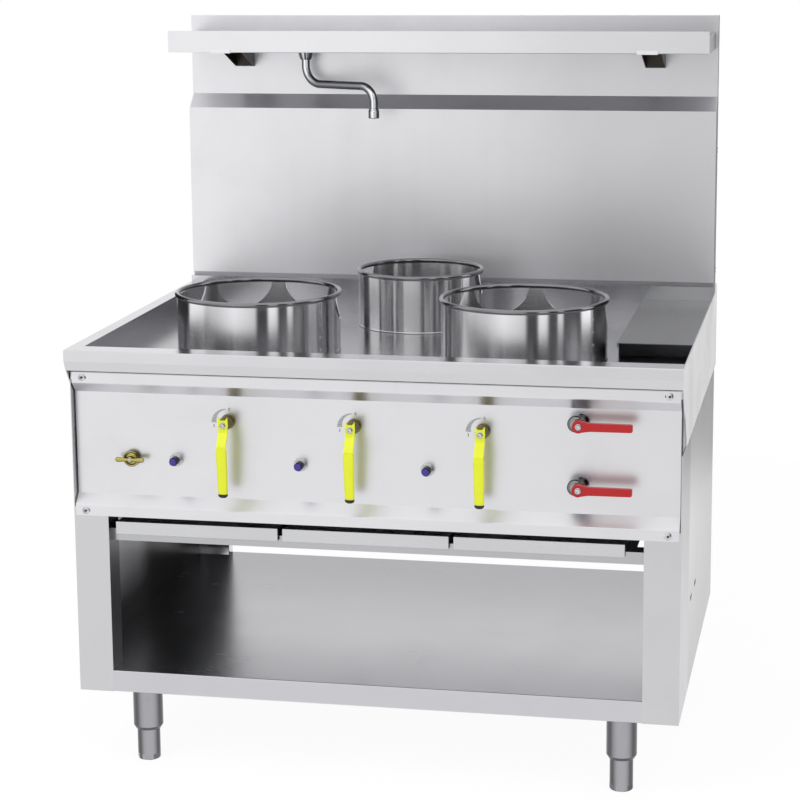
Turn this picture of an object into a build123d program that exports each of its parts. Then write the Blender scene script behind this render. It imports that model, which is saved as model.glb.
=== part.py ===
from build123d import *
from math import cos, radians, sin
import os

os.makedirs("parts", exist_ok=True)

# A three-burner wok range in stainless sheet: hob with water trough, splash wall with shelf and
# swivel spout, folded control panel, open base on four legs. Millimetres, +Z up, +Y to the back.
# The origin is on the floor under the middle of the whole range.

# ---------------------------------------------------------------- sheet, gaps and fits
hob_sheet = 2.0  # hob, trough and their aprons
case_sheet = 1.5  # every other folded sheet
bend = 3.0  # outside radius of a fold
rest_gap = 0.3  # under a piece that lifts off or slides
turn_gap = 0.3  # round a stem, a plunger or a pipe that moves
hole_gap = 0.5  # round a fixed pipe, neck or screw that passes through sheet
side_gap = 0.6  # beside a tray, a cover or a rail end
through = 5.0  # a cut runs on this far past the sheet it passes through

# ---------------------------------------------------------------- overall
hob_width = 1200.0
hob_height = 860.0
hob_depth = 932.0
nose_reach = 27.0  # hob nose ahead of the cabinet front
lever_reach = 43.0  # foremost grip ahead of the cabinet front
total_height = 1466.0

front = (lever_reach - (hob_depth - nose_reach)) / 2  # cabinet front face
rear = front + hob_depth - nose_reach  # back of hob and splash wall
half = hob_width / 2
body_depth = rear - front
cabinet = half - hob_sheet  # outside of the side panels, under the hob aprons
inside = cabinet - case_sheet

# ---------------------------------------------------------------- hob
nose_face = 22.0
nose_slope = 20.0
nose_slope_back = 10.0
nose_lip = 14.0
apron_drop = 170.0
apron_toe = 6.0
apron_toe_back = 97.0
basin_depth = 45.0
rim_front = 48.0
rim_left = 27.0
rim_back = 61.0
ledge_rise = 13.0
collar_height = 10.0

nose_y = front - nose_reach
nose_low_y = nose_y + nose_slope_back
nose_low_z = hob_height - nose_face - nose_slope
floor_z = hob_height - basin_depth
basin_x0 = -half + rim_left
basin_x1 = half - hob_sheet
basin_y0 = nose_y + rim_front
basin_y1 = rear - rim_back
ledge_z = hob_height + ledge_rise
apron_z = hob_height - apron_drop

# ---------------------------------------------------------------- wok rings and burners
ring_rise = 118.0  # rim rod above the hob floor
ring_rod = 10.0
ring_sheet = 2.0
wide_ring = 165.0  # radius to the middle of the rim rod
small_ring = 132.5
wide_bite = 60.0  # radius of the round bites in a wok ring
small_bite = 55.0
bite_drop = 4.0  # centre of a bite above the rod
hole_inset = 20.0  # burner hole inside the ring
burner_inset = 18.0  # burner bowl inside its hole
burner_height = 70.0
burner_wall = 8.0
burner_proud = 5.0
burner_slope = 46.0
burner_boss = 30.0
burner_boss_top = 24.0
jets = 12
jet_bore = 8.0
burner_knee = 0.55  # height of the bowl's bend, as a share of the burner's
ring_row_y = front + 0.305 * body_depth
back_ring_y = front + 0.6895 * body_depth
left_ring_x = -0.2392 * hob_width
right_ring_x = 0.2158 * hob_width
back_ring_x = -0.0158 * hob_width

# ---------------------------------------------------------------- trough
trough_width = 146.0
trough_side = 10.0
trough_front = 0.3514 * body_depth
trough_depth = 60.0
trough_back = 4.0
wall_rise = 25.5
cover_lead = 6.0
cover_flange = 8.0
drain_bore = 36.0
drain_wall = 2.0
drain_flange = 60.0
drain_side = 46.0
drain_back = 60.0
drain_bend = 36.0
waste_below = 210.0  # waste outlet under the rim of the hob
waste_z = hob_height - waste_below
waste_nipple = 41.9

# ---------------------------------------------------------------- splash wall, shelf, spout
splash_inset = 4.0
splash_low_depth = 59.0
splash_high_depth = 27.0
splash_foot = 10.0
splash_top = 176.0  # upper wall of the splash, above its slope
slope_height = 30.0
slope_top_z = total_height - splash_top
slope_low_z = slope_top_z - slope_height
splash_low_y = rear - splash_low_depth
splash_high_y = rear - splash_high_depth
splash_width = hob_width - 2 * splash_inset
splash_screw_in = 14.0
splash_screw_pitch = 8.0  # the two screws of a pair
splash_screw_shank = 3.8
splash_screw_head = 7.2
splash_screw_thick = 3.0
splash_screw_length = 6.0
splash_screw_up = 33.0  # lower pair above the ledge
splash_screw_down = 88.0  # upper pair under the slope
splash_screw_z = (ledge_z + splash_screw_up, slope_low_z - splash_screw_down)
shelf_inset = 6.0
shelf_depth = 202.0
shelf_below = 72.0  # shelf under the top of the splash wall
shelf_z = total_height - shelf_below
shelf_lip = 47.0
shelf_end_lip = 36.0
bracket_in_left = 119.0
bracket_in_right = 130.0
bracket_width = 44.0
bracket_depth = 113.0
bracket_drop = 42.0
bracket_tab = 7.0
spout_x = -0.2667 * hob_width
spout_back = 38.0  # pivot ahead of the upper splash wall
spout_pipe = 18.0
spout_wall = 1.5
spout_drop = 78.0
spout_reach = 190.0
spout_turn = -25.0
spout_tip = 48.0
bend_top = 40.0
bend_tip = 35.0
nozzle_dia = 24.0
nozzle_length = 22.0
nozzle_round = 1.5
nut_dia = 40.0
nut_height = 24.0
nut_lip = 2.5  # nut wider than the pipe at its low end
socket_depth = 30.0
riser_pipe = 15.0
elbow_dia = 20.0
elbow_flange = 32.0

# ---------------------------------------------------------------- control panel
panel_inset = 6.0
panel_below = 48.0  # panel under the rim of the hob
panel_height = 288.0
panel_top = hob_height - panel_below
panel_bottom = panel_top - panel_height
panel_flange = 20.0
panel_slope = 21.0
panel_set_back = 20.0
panel_screw_side = 27.0
panel_screw_in = 10.0
screw_shank = 5.0
screw_head = 14.0
screw_dome = 8.7
screw_washer = 1.2
screw_length = 8.0
panel_y = front + panel_set_back - case_sheet  # face of the set-back middle

valve_x = -0.2358 * hob_width
valve_pitch = 0.2092 * hob_width
valve_down = 91.3  # below the top of the panel
valve_z = panel_top - valve_down
valve_hub = 32.0
valve_neck = 24.0
valve_body = 42.0
valve_depth = 60.0
valve_bore = 8.0  # bore for the stem, past the face of the panel
hub_step = 12.0  # wide part of the hub behind the lever
hub_reach = 38.5
lever_head = 20.0
lever_neck = 18.5
lever_sheet = 4.0
lever_tang = 14.0  # inside the grip
tang_gap = 0.2
lever_prong = 19.0
prong_notch = 6.0  # between the prongs at their root
prong_root = 8.0
step_top = 15.0
step_low = 40.0
lever_lean = 7.0
grip_top = 44.0
grip_length = 90.0
grip_width_top = 22.0
grip_width_low = 18.7
grip_thick = 10.0
cap_length = 7.0
end_round = 2.0  # on the lever ends and the igniter buttons
lever_drop = grip_top + grip_length + cap_length
bolt_head = 10.6
bolt_shank = 8.0
bolt_thick = 5.0

button_x = -0.325 * hob_width
button_pitch = 0.2088 * hob_width
row_down = 172.0  # below the top of the panel
row_z = panel_top - row_down
bezel_dia = 25.0
bezel_thick = 4.0
bezel_step = 20.0  # its proud inner ring
barrel_dia = 16.6
button_dia = 14.4
button_reach = 29.0
button_travel = 4.0
button_proud = 6.5
barrel_depth = 30.0

pilot_x = -0.4 * hob_width
pilot_ring = 31.0
pilot_neck = 14.0
pilot_body = 22.4  # behind the panel
pilot_boss = 12.0  # hub of the wings
pilot_reach = 22.0
pilot_wing = 29.5
pilot_wing_height = 9.0
pilot_wing_thick = 4.0
pilot_stem = 6.0
tap_bore = 6.0  # bores of the pilot tap and the water valves, past the face of the panel

water_x = 0.3383 * hob_width
water_down = 67.0  # upper water valve below the top of the panel
water_pitch = 122.5
water_z = (panel_top - water_down - water_pitch, panel_top - water_down)
water_hub = 27.5
water_ring = 31.0
water_reach = 101.5
water_arm = 15.0
water_arm_thick = 9.0
water_plane = 34.0
water_stem = 9.0
arm_round = 3.0
water_screw = 13.0
water_screw_thick = 2.0

# ---------------------------------------------------------------- base
base_bottom = 162.0
post_face = 70.0
post_return = 60.0
side_strip = 205.0
left_strip_below = 63.0  # left strip under the rim of the hob
right_strip_below = 171.0
left_strip_top = hob_height - left_strip_below
right_strip_top = hob_height - right_strip_below
rail_face = 16.0
rail_tread = 32.0
back_recess = 21.0
shelf_floor_z = 206.0
shelf_lower_lip = 25.0
bearer_width = 80.0
slot_length = 40.0
slot_height = 10.0
slots = ((379.0, 335.0), (271.0, 336.5))
rear_post_return = 30.0
rear_panel_height = 369.0  # from its low edge to the rim of the hob
rear_panel_low = hob_height - rear_panel_height
rear_panel_foot = 34.0

tray_gap = 10.0
tray_left_gap = 11.5
tray_right_gap = 37.5
tray_below = 366.0  # tray floors under the rim of the hob
tray_floor_z = hob_height - tray_below
tray_wall = 14.0
tray_lip_top = 16.5
tray_lip_low = 9.5
tray_lead = 12.0
tray_lip_return = 8.0
lip_round = 1.2
tray_length = 0.84 * body_depth
runner_width = 28.0
cross_rail_y = 22.0
cross_rail_face = 24.0
cross_rail_tread = 38.0

leg_side = 118.0
leg_x = half - leg_side
leg_in = 75.0
leg_tube = 60.0
leg_wall = 2.0
leg_plate = 90.0
leg_plate_thick = 3.0
leg_shoulder_z = 72.0
leg_collar = 7.0
foot_dia = 46.0
foot_nut = 12.0
foot_guide = 60.0
foot_round = 3.0

# ---------------------------------------------------------------- services behind the panel
gas_pipe = 22.0
gas_nipple = 26.9
water_nipple = 20.9
nipple_length = 17.0
nipple_wall = 3.0
lock_nut = 9.0  # locknut wider than its nipple
gas_y = front + 0.0796 * body_depth
gas_end = 18.0
gas_bend = 40.0
gas_drop = 16.0
gas_side = 95.0
gas_x = -(half - gas_side)
feed_pipe = 12.0
feed_back = 60.0
supply_below = 285.0  # water inlet under the rim of the hob
supply_z = hob_height - supply_below
supply_bend = 14.0
bend_hole = 4.0  # more room where a pipe bends as it passes through sheet
water_body = 36.0
water_body_depth = 46.0
water_boss = 20.0
water_boss_length = 5.0
cross_above = 60.0  # cross pipe above the rim of the hob
cross_z = hob_height + cross_above
water_high_below = 70.0
water_high_z = hob_height - water_high_below
support_width = 40.0
support_thick = 5.0

back_face = rear - back_recess
post_x = cabinet - post_face
trough_x1 = half - trough_side
trough_x0 = trough_x1 - trough_width
panel_width = hob_width - 2 * panel_inset
panel_screw_x = panel_width / 2 - panel_screw_side
shelf_width = splash_width - 2 * shelf_inset
bracket_x = (bracket_in_left - shelf_width / 2, shelf_width / 2 - bracket_in_right)
tray_width = (2 * post_x - tray_left_gap - tray_right_gap - 2 * tray_gap) / 3
tray_pitch = tray_width + tray_gap
tray_x = tray_left_gap - post_x + tray_width / 2
valves = [valve_x + valve_pitch * i for i in range(3)]
buttons = [button_x + button_pitch * i for i in range(3)]
trays = [tray_x + tray_pitch * i for i in range(3)]
rings = {
    "left": (left_ring_x, ring_row_y, wide_ring, wide_bite, (-78, -26, 26, 78)),
    "right": (right_ring_x, ring_row_y, wide_ring, wide_bite, (-78, -26, 26, 78)),
    "back": (back_ring_x, back_ring_y, small_ring, small_bite, (-85, 85)),
}
panel_screw_z = (panel_top - panel_screw_in, panel_bottom + panel_screw_in)


def block(x, y, z, mode=Mode.ADD):
    """A block between two values on each axis, joined to the piece being built."""
    with Locations(((x[0] + x[1]) / 2, (y[0] + y[1]) / 2, (z[0] + z[1]) / 2)):
        Box(x[1] - x[0], y[1] - y[0], z[1] - z[0], mode=mode)


def rod(x, z, y0, y1, dia, mode=Mode.ADD):
    """A round bar that runs front to back from y0 to y1, joined to the piece being built."""
    with Locations(Location((x, (y0 + y1) / 2, z), (90, 0, 0))):
        Cylinder(dia / 2, y1 - y0, mode=mode)


def post(x, y, z0, z1, dia, mode=Mode.ADD):
    """A round bar that stands from z0 to z1, joined to the piece being built."""
    with Locations((x, y, (z0 + z1) / 2)):
        Cylinder(dia / 2, z1 - z0, mode=mode)


def save(part, label):
    part.label = label
    export_step(part, f"parts/{label}.step")


# ================================================================ hob
riser_y = (splash_high_y + rear) / 2
drain_x = trough_x0 + drain_side
trough_y0 = front + trough_front
trough_y1 = basin_y1 - trough_back
drain_y = trough_y1 - drain_back
trough_z = floor_z - trough_depth
wall_z = floor_z + wall_rise

with BuildPart() as hob_top:
    # one folded sheet: nose, rim, raised rear ledge, back skirt and side aprons, open below
    with BuildSketch(Plane.YZ.offset(-half)) as apron_side:
        with BuildLine():
            Polyline(
                (nose_y, hob_height),
                (nose_y, hob_height - nose_face),
                (nose_low_y, nose_low_z),
                (nose_low_y + apron_toe_back - nose_slope_back, apron_z + apron_toe),
                (nose_low_y + apron_toe_back - nose_slope_back + apron_toe, apron_z),
                (rear, apron_z),
                (rear, ledge_z),
                (basin_y1, ledge_z),
                (basin_y1, hob_height),
                close=True,
            )
        make_face()
        fillet(apron_side.vertices().sort_by_distance((nose_y, hob_height))[0], bend)
    extrude(amount=hob_width)
    with BuildSketch(Plane.YZ.offset(-cabinet)):
        with BuildLine():
            Polyline(
                (nose_y + hob_sheet, hob_height - hob_sheet),
                (nose_y + hob_sheet, hob_height - nose_face),
                (nose_low_y + hob_sheet, nose_low_z + hob_sheet),
                (nose_low_y + nose_lip, nose_low_z + hob_sheet),
                (nose_low_y + nose_lip, nose_low_z),
                (nose_low_y - hob_sheet, nose_low_z),
                (nose_low_y - hob_sheet, apron_z - apron_toe),
                (rear - hob_sheet, apron_z - apron_toe),
                (rear - hob_sheet, ledge_z - hob_sheet),
                (basin_y1 + hob_sheet, ledge_z - hob_sheet),
                (basin_y1 + hob_sheet, hob_height - hob_sheet),
                close=True,
            )
        make_face()
    extrude(amount=2 * cabinet, mode=Mode.SUBTRACT)
    # walls of the sunk basin
    block(
        (basin_x0 - hob_sheet, half),
        (basin_y0 - hob_sheet, basin_y1 + hob_sheet),
        (floor_z - hob_sheet, hob_height),
    )
    block(
        (basin_x0, basin_x1), (basin_y0, basin_y1), (floor_z - hob_sheet, ledge_z), Mode.SUBTRACT
    )
    # hole in the ledge for the riser of the spout
    post(water_x, riser_y, ledge_z - hob_sheet, ledge_z, riser_pipe + 2 * hole_gap, Mode.SUBTRACT)
save(hob_top.part, "hob_top")

with BuildPart() as hob_floor:
    # floor welded into the basin, and the trough let into it
    block((basin_x0, basin_x1), (basin_y0, basin_y1), (floor_z - hob_sheet, floor_z))
    block(
        (trough_x0 - hob_sheet, trough_x1 + hob_sheet),
        (trough_y0, basin_y1),
        (trough_z - hob_sheet, wall_z),
    )
    block(
        (trough_x0, trough_x1),
        (trough_y0 + hob_sheet, trough_y1),
        (trough_z, wall_z),
        Mode.SUBTRACT,
    )
    block(
        (trough_x0, trough_x1), (trough_y0, trough_y0 + hob_sheet), (floor_z, wall_z), Mode.SUBTRACT
    )
    post(drain_x, drain_y, trough_z - hob_sheet, trough_z, drain_bore, Mode.SUBTRACT)
    # burner holes, each with a collar that keeps water out of the burner
    for cx, cy, radius, bite, turns in rings.values():
        hole = 2 * (radius - hole_inset)
        post(cx, cy, floor_z, floor_z + collar_height, hole + 2 * hob_sheet)
        post(cx, cy, floor_z - hob_sheet, floor_z + collar_height, hole, Mode.SUBTRACT)
save(hob_floor.part, "hob_floor")

cover_x0 = trough_x0 - hob_sheet - rest_gap
cover_x1 = trough_x1 + hob_sheet + rest_gap
cover_z = wall_z + rest_gap
with BuildPart() as gutter_cover:
    # flat cover with its two long edges turned down outside the trough walls
    with BuildSketch(Plane.XZ.offset(-(trough_y0 - cover_lead))) as cover_section:
        with BuildLine():
            FilletPolyline(
                (cover_x0, cover_z - cover_flange),
                (cover_x0, cover_z),
                (cover_x1, cover_z),
                (cover_x1, cover_z - cover_flange),
                radius=case_sheet / 4,
            )
            offset(amount=case_sheet, side=Side.LEFT)
        make_face()
    extrude(amount=-(basin_y1 - side_gap - trough_y0 + cover_lead))
save(gutter_cover.part, "gutter_cover")

with BuildPart() as drain_outlet:
    # flanged elbow under the trough that carries the waste out at the back
    under = trough_z - hob_sheet
    with BuildLine() as drain_path:
        FilletPolyline(
            (drain_x, drain_y, under),
            (drain_x, drain_y, waste_z),
            (drain_x, rear, waste_z),
            radius=drain_bend,
        )
    post(drain_x, drain_y, under - drain_wall, under, drain_flange)
    with BuildSketch(Plane.XY.offset(under)):
        with Locations((drain_x, drain_y)):
            Circle(drain_bore / 2 + drain_wall)
    sweep(path=drain_path.wires()[0])
    rod(drain_x, waste_z, back_face, rear - nipple_length, waste_nipple + lock_nut)
    rod(drain_x, waste_z, back_face, rear, waste_nipple)
    with BuildSketch(Plane.XY.offset(under)):
        with Locations((drain_x, drain_y)):
            Circle(drain_bore / 2)
    sweep(path=drain_path.wires()[0], mode=Mode.SUBTRACT)
save(drain_outlet.part, "drain_outlet")

# ================================================================ splash wall
faucet_y = splash_high_y - spout_back
faucet_z = shelf_z + case_sheet + riser_pipe  # axis of the pipe that feeds the spout
with BuildPart() as backsplash:
    # deep lower part, sloping shoulder and shallow upper part, as one box open at the back
    with BuildSketch(Plane.YZ.offset(-splash_width / 2)) as splash_side:
        with BuildLine():
            Polyline(
                (splash_low_y, ledge_z),
                (splash_low_y, slope_low_z),
                (splash_high_y, slope_top_z),
                (splash_high_y, total_height),
                (rear, total_height),
                (rear, ledge_z),
                close=True,
            )
        make_face()
        chamfer(splash_side.vertices().sort_by_distance((splash_low_y, ledge_z))[0], splash_foot)
    extrude(amount=splash_width)
    with BuildSketch(Plane.YZ.offset(-splash_width / 2 + case_sheet)):
        with BuildLine():
            Polyline(
                (splash_low_y + case_sheet, ledge_z + splash_foot + case_sheet / 2),
                (splash_low_y + case_sheet, slope_low_z - case_sheet / 2),
                (splash_high_y + case_sheet, slope_top_z - case_sheet / 2),
                (splash_high_y + case_sheet, total_height - case_sheet),
                (rear + case_sheet, total_height - case_sheet),
                (rear + case_sheet, ledge_z + case_sheet),
                (splash_low_y + splash_foot + case_sheet / 2, ledge_z + case_sheet),
                close=True,
            )
        make_face()
    extrude(amount=splash_width - 2 * case_sheet, mode=Mode.SUBTRACT)
    rod(
        spout_x,
        faucet_z,
        splash_high_y - case_sheet,
        splash_high_y + 2 * case_sheet,
        riser_pipe + 2 * hole_gap,
        Mode.SUBTRACT,
    )
    post(water_x, riser_y, ledge_z, ledge_z + case_sheet, riser_pipe + 2 * hole_gap, Mode.SUBTRACT)
    # holes for the pairs of side screws
    for z in splash_screw_z:
        for dz in (-splash_screw_pitch / 2, splash_screw_pitch / 2):
            with Locations(Location((0, rear - splash_screw_in, z + dz), (0, 90, 0))):
                Cylinder(splash_screw_shank / 2 + hole_gap / 5, splash_width, mode=Mode.SUBTRACT)
save(backsplash.part, "backsplash")

with BuildPart() as backsplash_rear_cover:
    # plate that closes the splash wall from behind
    cover_half = splash_width / 2 - case_sheet
    block(
        (-cover_half, cover_half),
        (rear - case_sheet, rear),
        (ledge_z + case_sheet, total_height - case_sheet),
    )
save(backsplash_rear_cover.part, "backsplash_rear_cover")

shelf_half = shelf_width / 2
shelf_y0 = splash_high_y - shelf_depth
with BuildPart() as wall_shelf:
    # shallow tray with a tall front lip, lower ends and a flange up the splash wall
    block((-shelf_half, shelf_half), (shelf_y0, splash_high_y), (shelf_z, shelf_z + shelf_end_lip))
    block(
        (-shelf_half, shelf_half),
        (shelf_y0, shelf_y0 + case_sheet),
        (shelf_z, shelf_z + shelf_lip),
    )
    block(
        (-shelf_half + case_sheet, shelf_half - case_sheet),
        (shelf_y0 + case_sheet, splash_high_y - case_sheet),
        (shelf_z + case_sheet, shelf_z + shelf_lip),
        Mode.SUBTRACT,
    )
    fillet(
        wall_shelf.edges().filter_by(Axis.X).group_by(Axis.Z)[0].sort_by(Axis.Y)[0], case_sheet
    )
    post(spout_x, faucet_y, shelf_z, shelf_z + case_sheet, elbow_dia + 2 * hole_gap, Mode.SUBTRACT)
    rod(
        spout_x,
        faucet_z,
        splash_high_y - 2 * case_sheet,
        splash_high_y,
        riser_pipe + 2 * hole_gap,
        Mode.SUBTRACT,
    )
save(wall_shelf.part, "wall_shelf")

with BuildPart() as shelf_brackets:
    # each bracket is one folding: two triangular cheeks, wall web, top strip and front tab
    for bx in bracket_x:
        b0 = bx - bracket_width / 2
        with BuildSketch(Plane.YZ.offset(b0)):
            with BuildLine():
                Polyline(
                    (splash_high_y, shelf_z),
                    (splash_high_y - bracket_depth, shelf_z),
                    (splash_high_y - bracket_depth, shelf_z - 2 * case_sheet),
                    (splash_high_y - 2 * case_sheet, shelf_z - bracket_drop),
                    (splash_high_y, shelf_z - bracket_drop),
                    close=True,
                )
            make_face()
        extrude(amount=bracket_width)
        block(
            (b0 + case_sheet, b0 + bracket_width - case_sheet),
            (splash_high_y - bracket_depth - 1, splash_high_y - case_sheet),
            (shelf_z - bracket_drop - 1, shelf_z - case_sheet),
            Mode.SUBTRACT,
        )
        block(
            (b0, b0 + bracket_width),
            (shelf_y0 - case_sheet, splash_high_y - bracket_depth),
            (shelf_z - case_sheet, shelf_z),
        )
        block(
            (b0, b0 + bracket_width),
            (shelf_y0 - case_sheet, shelf_y0),
            (shelf_z - case_sheet, shelf_z + bracket_tab),
        )
save(shelf_brackets.part, "shelf_brackets")

with BuildPart() as faucet_body:
    # elbow on the shelf: feed pipe from the wall, stem through the shelf, conical nut below
    rod(spout_x, faucet_z, faucet_y, splash_high_y + case_sheet, riser_pipe)
    post(spout_x, faucet_y, shelf_z, faucet_z + elbow_dia / 2, elbow_dia)
    post(spout_x, faucet_y, shelf_z + case_sheet, shelf_z + 2 * case_sheet, elbow_flange)
    with BuildSketch(Plane.XY.offset(shelf_z)):
        with Locations((spout_x, faucet_y)):
            Circle(nut_dia / 2)
    with BuildSketch(Plane.XY.offset(shelf_z - nut_height)):
        with Locations((spout_x, faucet_y)):
            Circle(spout_pipe / 2 + nut_lip)
    loft(ruled=True)
    post(
        spout_x,
        faucet_y,
        shelf_z - nut_height - 1,
        shelf_z - nut_height + socket_depth - riser_pipe / 2,
        spout_pipe + 2 * turn_gap,
        Mode.SUBTRACT,
    )
save(faucet_body.part, "faucet_body")

# the spout lies in an upright plane that is turned about its pivot
spout_along = Vector(cos(radians(spout_turn)), sin(radians(spout_turn)), 0)
spout_top_z = shelf_z - nut_height + socket_depth - riser_pipe / 2 - rest_gap
spout_run_z = shelf_z - spout_drop
spout_plane = Plane(
    origin=(spout_x, faucet_y, 0), x_dir=spout_along, z_dir=spout_along.cross(Vector(0, 0, 1))
)
spout_end = Vector(spout_x, faucet_y, 0) + spout_along * spout_reach
with BuildPart() as spout:
    with BuildLine(spout_plane) as spout_path:
        FilletPolyline(
            (0, spout_top_z),
            (0, spout_run_z),
            (spout_reach, spout_run_z),
            (spout_reach, spout_run_z - spout_tip - nozzle_length / 2),
            radius=(bend_top, bend_tip),
        )
    with BuildSketch(Plane.XY.offset(spout_top_z)):
        with Locations((spout_x, faucet_y)):
            Circle(spout_pipe / 2)
            Circle(spout_pipe / 2 - spout_wall, mode=Mode.SUBTRACT)
    sweep(path=spout_path.wires()[0])
save(spout.part, "spout")

nozzle_top_z = spout_run_z - spout_tip
with BuildPart() as spout_nozzle:
    # sleeve over the end of the pipe, with a stepped mouth
    post(spout_end.X, spout_end.Y, nozzle_top_z - nozzle_length, nozzle_top_z, nozzle_dia)
    fillet(spout_nozzle.edges().filter_by(GeomType.CIRCLE), nozzle_round)
    post(
        spout_end.X,
        spout_end.Y,
        nozzle_top_z - nozzle_length / 2,
        nozzle_top_z,
        spout_pipe,
        Mode.SUBTRACT,
    )
    post(
        spout_end.X,
        spout_end.Y,
        nozzle_top_z - nozzle_length,
        nozzle_top_z,
        spout_pipe - 2 * spout_wall,
        Mode.SUBTRACT,
    )
save(spout_nozzle.part, "spout_nozzle")

# ================================================================ control panel and front rail
with BuildPart() as control_panel:
    # flanges at top and bottom, sloping shoulders and a set-back face, from one sheet
    with BuildSketch(Plane.YZ.offset(-panel_width / 2)):
        with BuildLine():
            FilletPolyline(
                (front, panel_bottom),
                (front, panel_bottom + panel_flange),
                (front + panel_set_back, panel_bottom + panel_flange + panel_slope),
                (front + panel_set_back, panel_top - panel_flange - panel_slope),
                (front, panel_top - panel_flange),
                (front, panel_top),
                radius=bend,
            )
            offset(amount=case_sheet, side=Side.LEFT)
        make_face()
    extrude(amount=panel_width)
    for x in valves:
        rod(x, valve_z, panel_y - 1, panel_y + through, valve_neck + 2 * hole_gap, Mode.SUBTRACT)
    for x in buttons:
        rod(x, row_z, panel_y - 1, panel_y + through, barrel_dia + 2 * hole_gap, Mode.SUBTRACT)
    for z in water_z:
        rod(water_x, z, panel_y - 1, panel_y + through, valve_neck + 2 * hole_gap, Mode.SUBTRACT)
    rod(pilot_x, row_z, panel_y - 1, panel_y + through, pilot_neck + 2 * hole_gap, Mode.SUBTRACT)
    for x in (-panel_screw_x, panel_screw_x):
        for z in panel_screw_z:
            rod(x, z, front - 2, front + 1, screw_shank + 2 * hole_gap, Mode.SUBTRACT)
save(control_panel.part, "control_panel")

with BuildPart() as screws:
    # round head in a cup washer at each corner of the panel
    for x in (-panel_screw_x, panel_screw_x):
        for z in panel_screw_z:
            face = front - case_sheet
            rod(x, z, face - screw_washer, face, screw_head)
            rod(x, z, face - 2 * screw_washer, face, screw_dome)
            rod(x, z, face, face + screw_length, screw_shank)
    # two pairs of small screws in each side of the splash wall
    for side in (-1, 1):
        for z in splash_screw_z:
            for dz in (-splash_screw_pitch / 2, splash_screw_pitch / 2):
                head_x = side * (splash_width + splash_screw_thick) / 2
                shank_x = side * (splash_width - splash_screw_length) / 2
                with Locations(Location((head_x, rear - splash_screw_in, z + dz), (0, 90, 0))):
                    Cylinder(splash_screw_head / 2, splash_screw_thick)
                with Locations(Location((shank_x, rear - splash_screw_in, z + dz), (0, 90, 0))):
                    Cylinder(splash_screw_shank / 2, splash_screw_length)
save(screws.part, "screws")

with BuildPart() as front_frame:
    # two corner posts: face and inner return stop under the panel's slope, the outer strip runs up
    strip_tops = {-1: left_strip_top, 1: right_strip_top}
    post_top = panel_bottom + panel_flange - bend
    for side, strip_top in strip_tops.items():
        x_out = sorted((side * inside, side * cabinet))
        x_face = sorted((side * post_x, side * cabinet))
        x_in = sorted((side * post_x, side * (post_x + case_sheet)))
        block(x_out, (front, front + side_strip), (base_bottom, strip_top))
        block(x_face, (front, front + case_sheet), (base_bottom, post_top))
        block(x_in, (front, front + post_return), (base_bottom, post_top))
    # angle behind the top flange of the panel, its tread under the hob
    tread_z = floor_z - hob_sheet
    block((-inside, inside), (front, front + case_sheet), (tread_z - rail_face, tread_z))
    block(
        (-inside, inside), (front, front + rail_tread), (tread_z - case_sheet, tread_z)
    )
    for x in (-panel_screw_x, panel_screw_x):
        for z in panel_screw_z:
            rod(x, z, front - 2, front + 3, screw_shank + 2 * hole_gap, Mode.SUBTRACT)
save(front_frame.part, "front_frame")

# ================================================================ gas valves and levers
lever_plane = front + panel_set_back - case_sheet - hub_reach  # back of the lever strip
bore_end = panel_y + valve_bore
with BuildPart() as gas_valves:
    # round hub before the panel, neck through it, square body behind with a bore for the stem
    for x in valves:
        rod(x, valve_z, lever_plane + turn_gap + hub_step, panel_y, valve_hub)
        rod(x, valve_z, lever_plane + turn_gap, panel_y, valve_neck)
        rod(x, valve_z, panel_y, panel_y + case_sheet, valve_neck)
        back = panel_y + case_sheet
        block(
            (x - valve_body / 2, x + valve_body / 2),
            (back, back + valve_depth),
            (valve_z - valve_body / 2, valve_z + valve_body / 2),
        )
        rod(x, valve_z, lever_plane, bore_end, bolt_shank + 2 * turn_gap, Mode.SUBTRACT)
save(gas_valves.part, "gas_valves")

# side line of the lever: down from the head, a step outward, then leaning back to its end
strip_mid = lever_plane - lever_sheet / 2
grip_low = grip_top + grip_length
grip_y = front - lever_reach + grip_thick / 2
lever_line = [
    (strip_mid, lever_prong),
    (strip_mid, -step_top),
    (grip_y, -step_low),
    (grip_y + lever_lean, -grip_low),
]


def lever_y(below):
    """Middle of the lever strip, that far below the pivot, along its leaning part."""
    share = (below - step_low) / (grip_low - step_low)
    return grip_y + lever_lean * share


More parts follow.
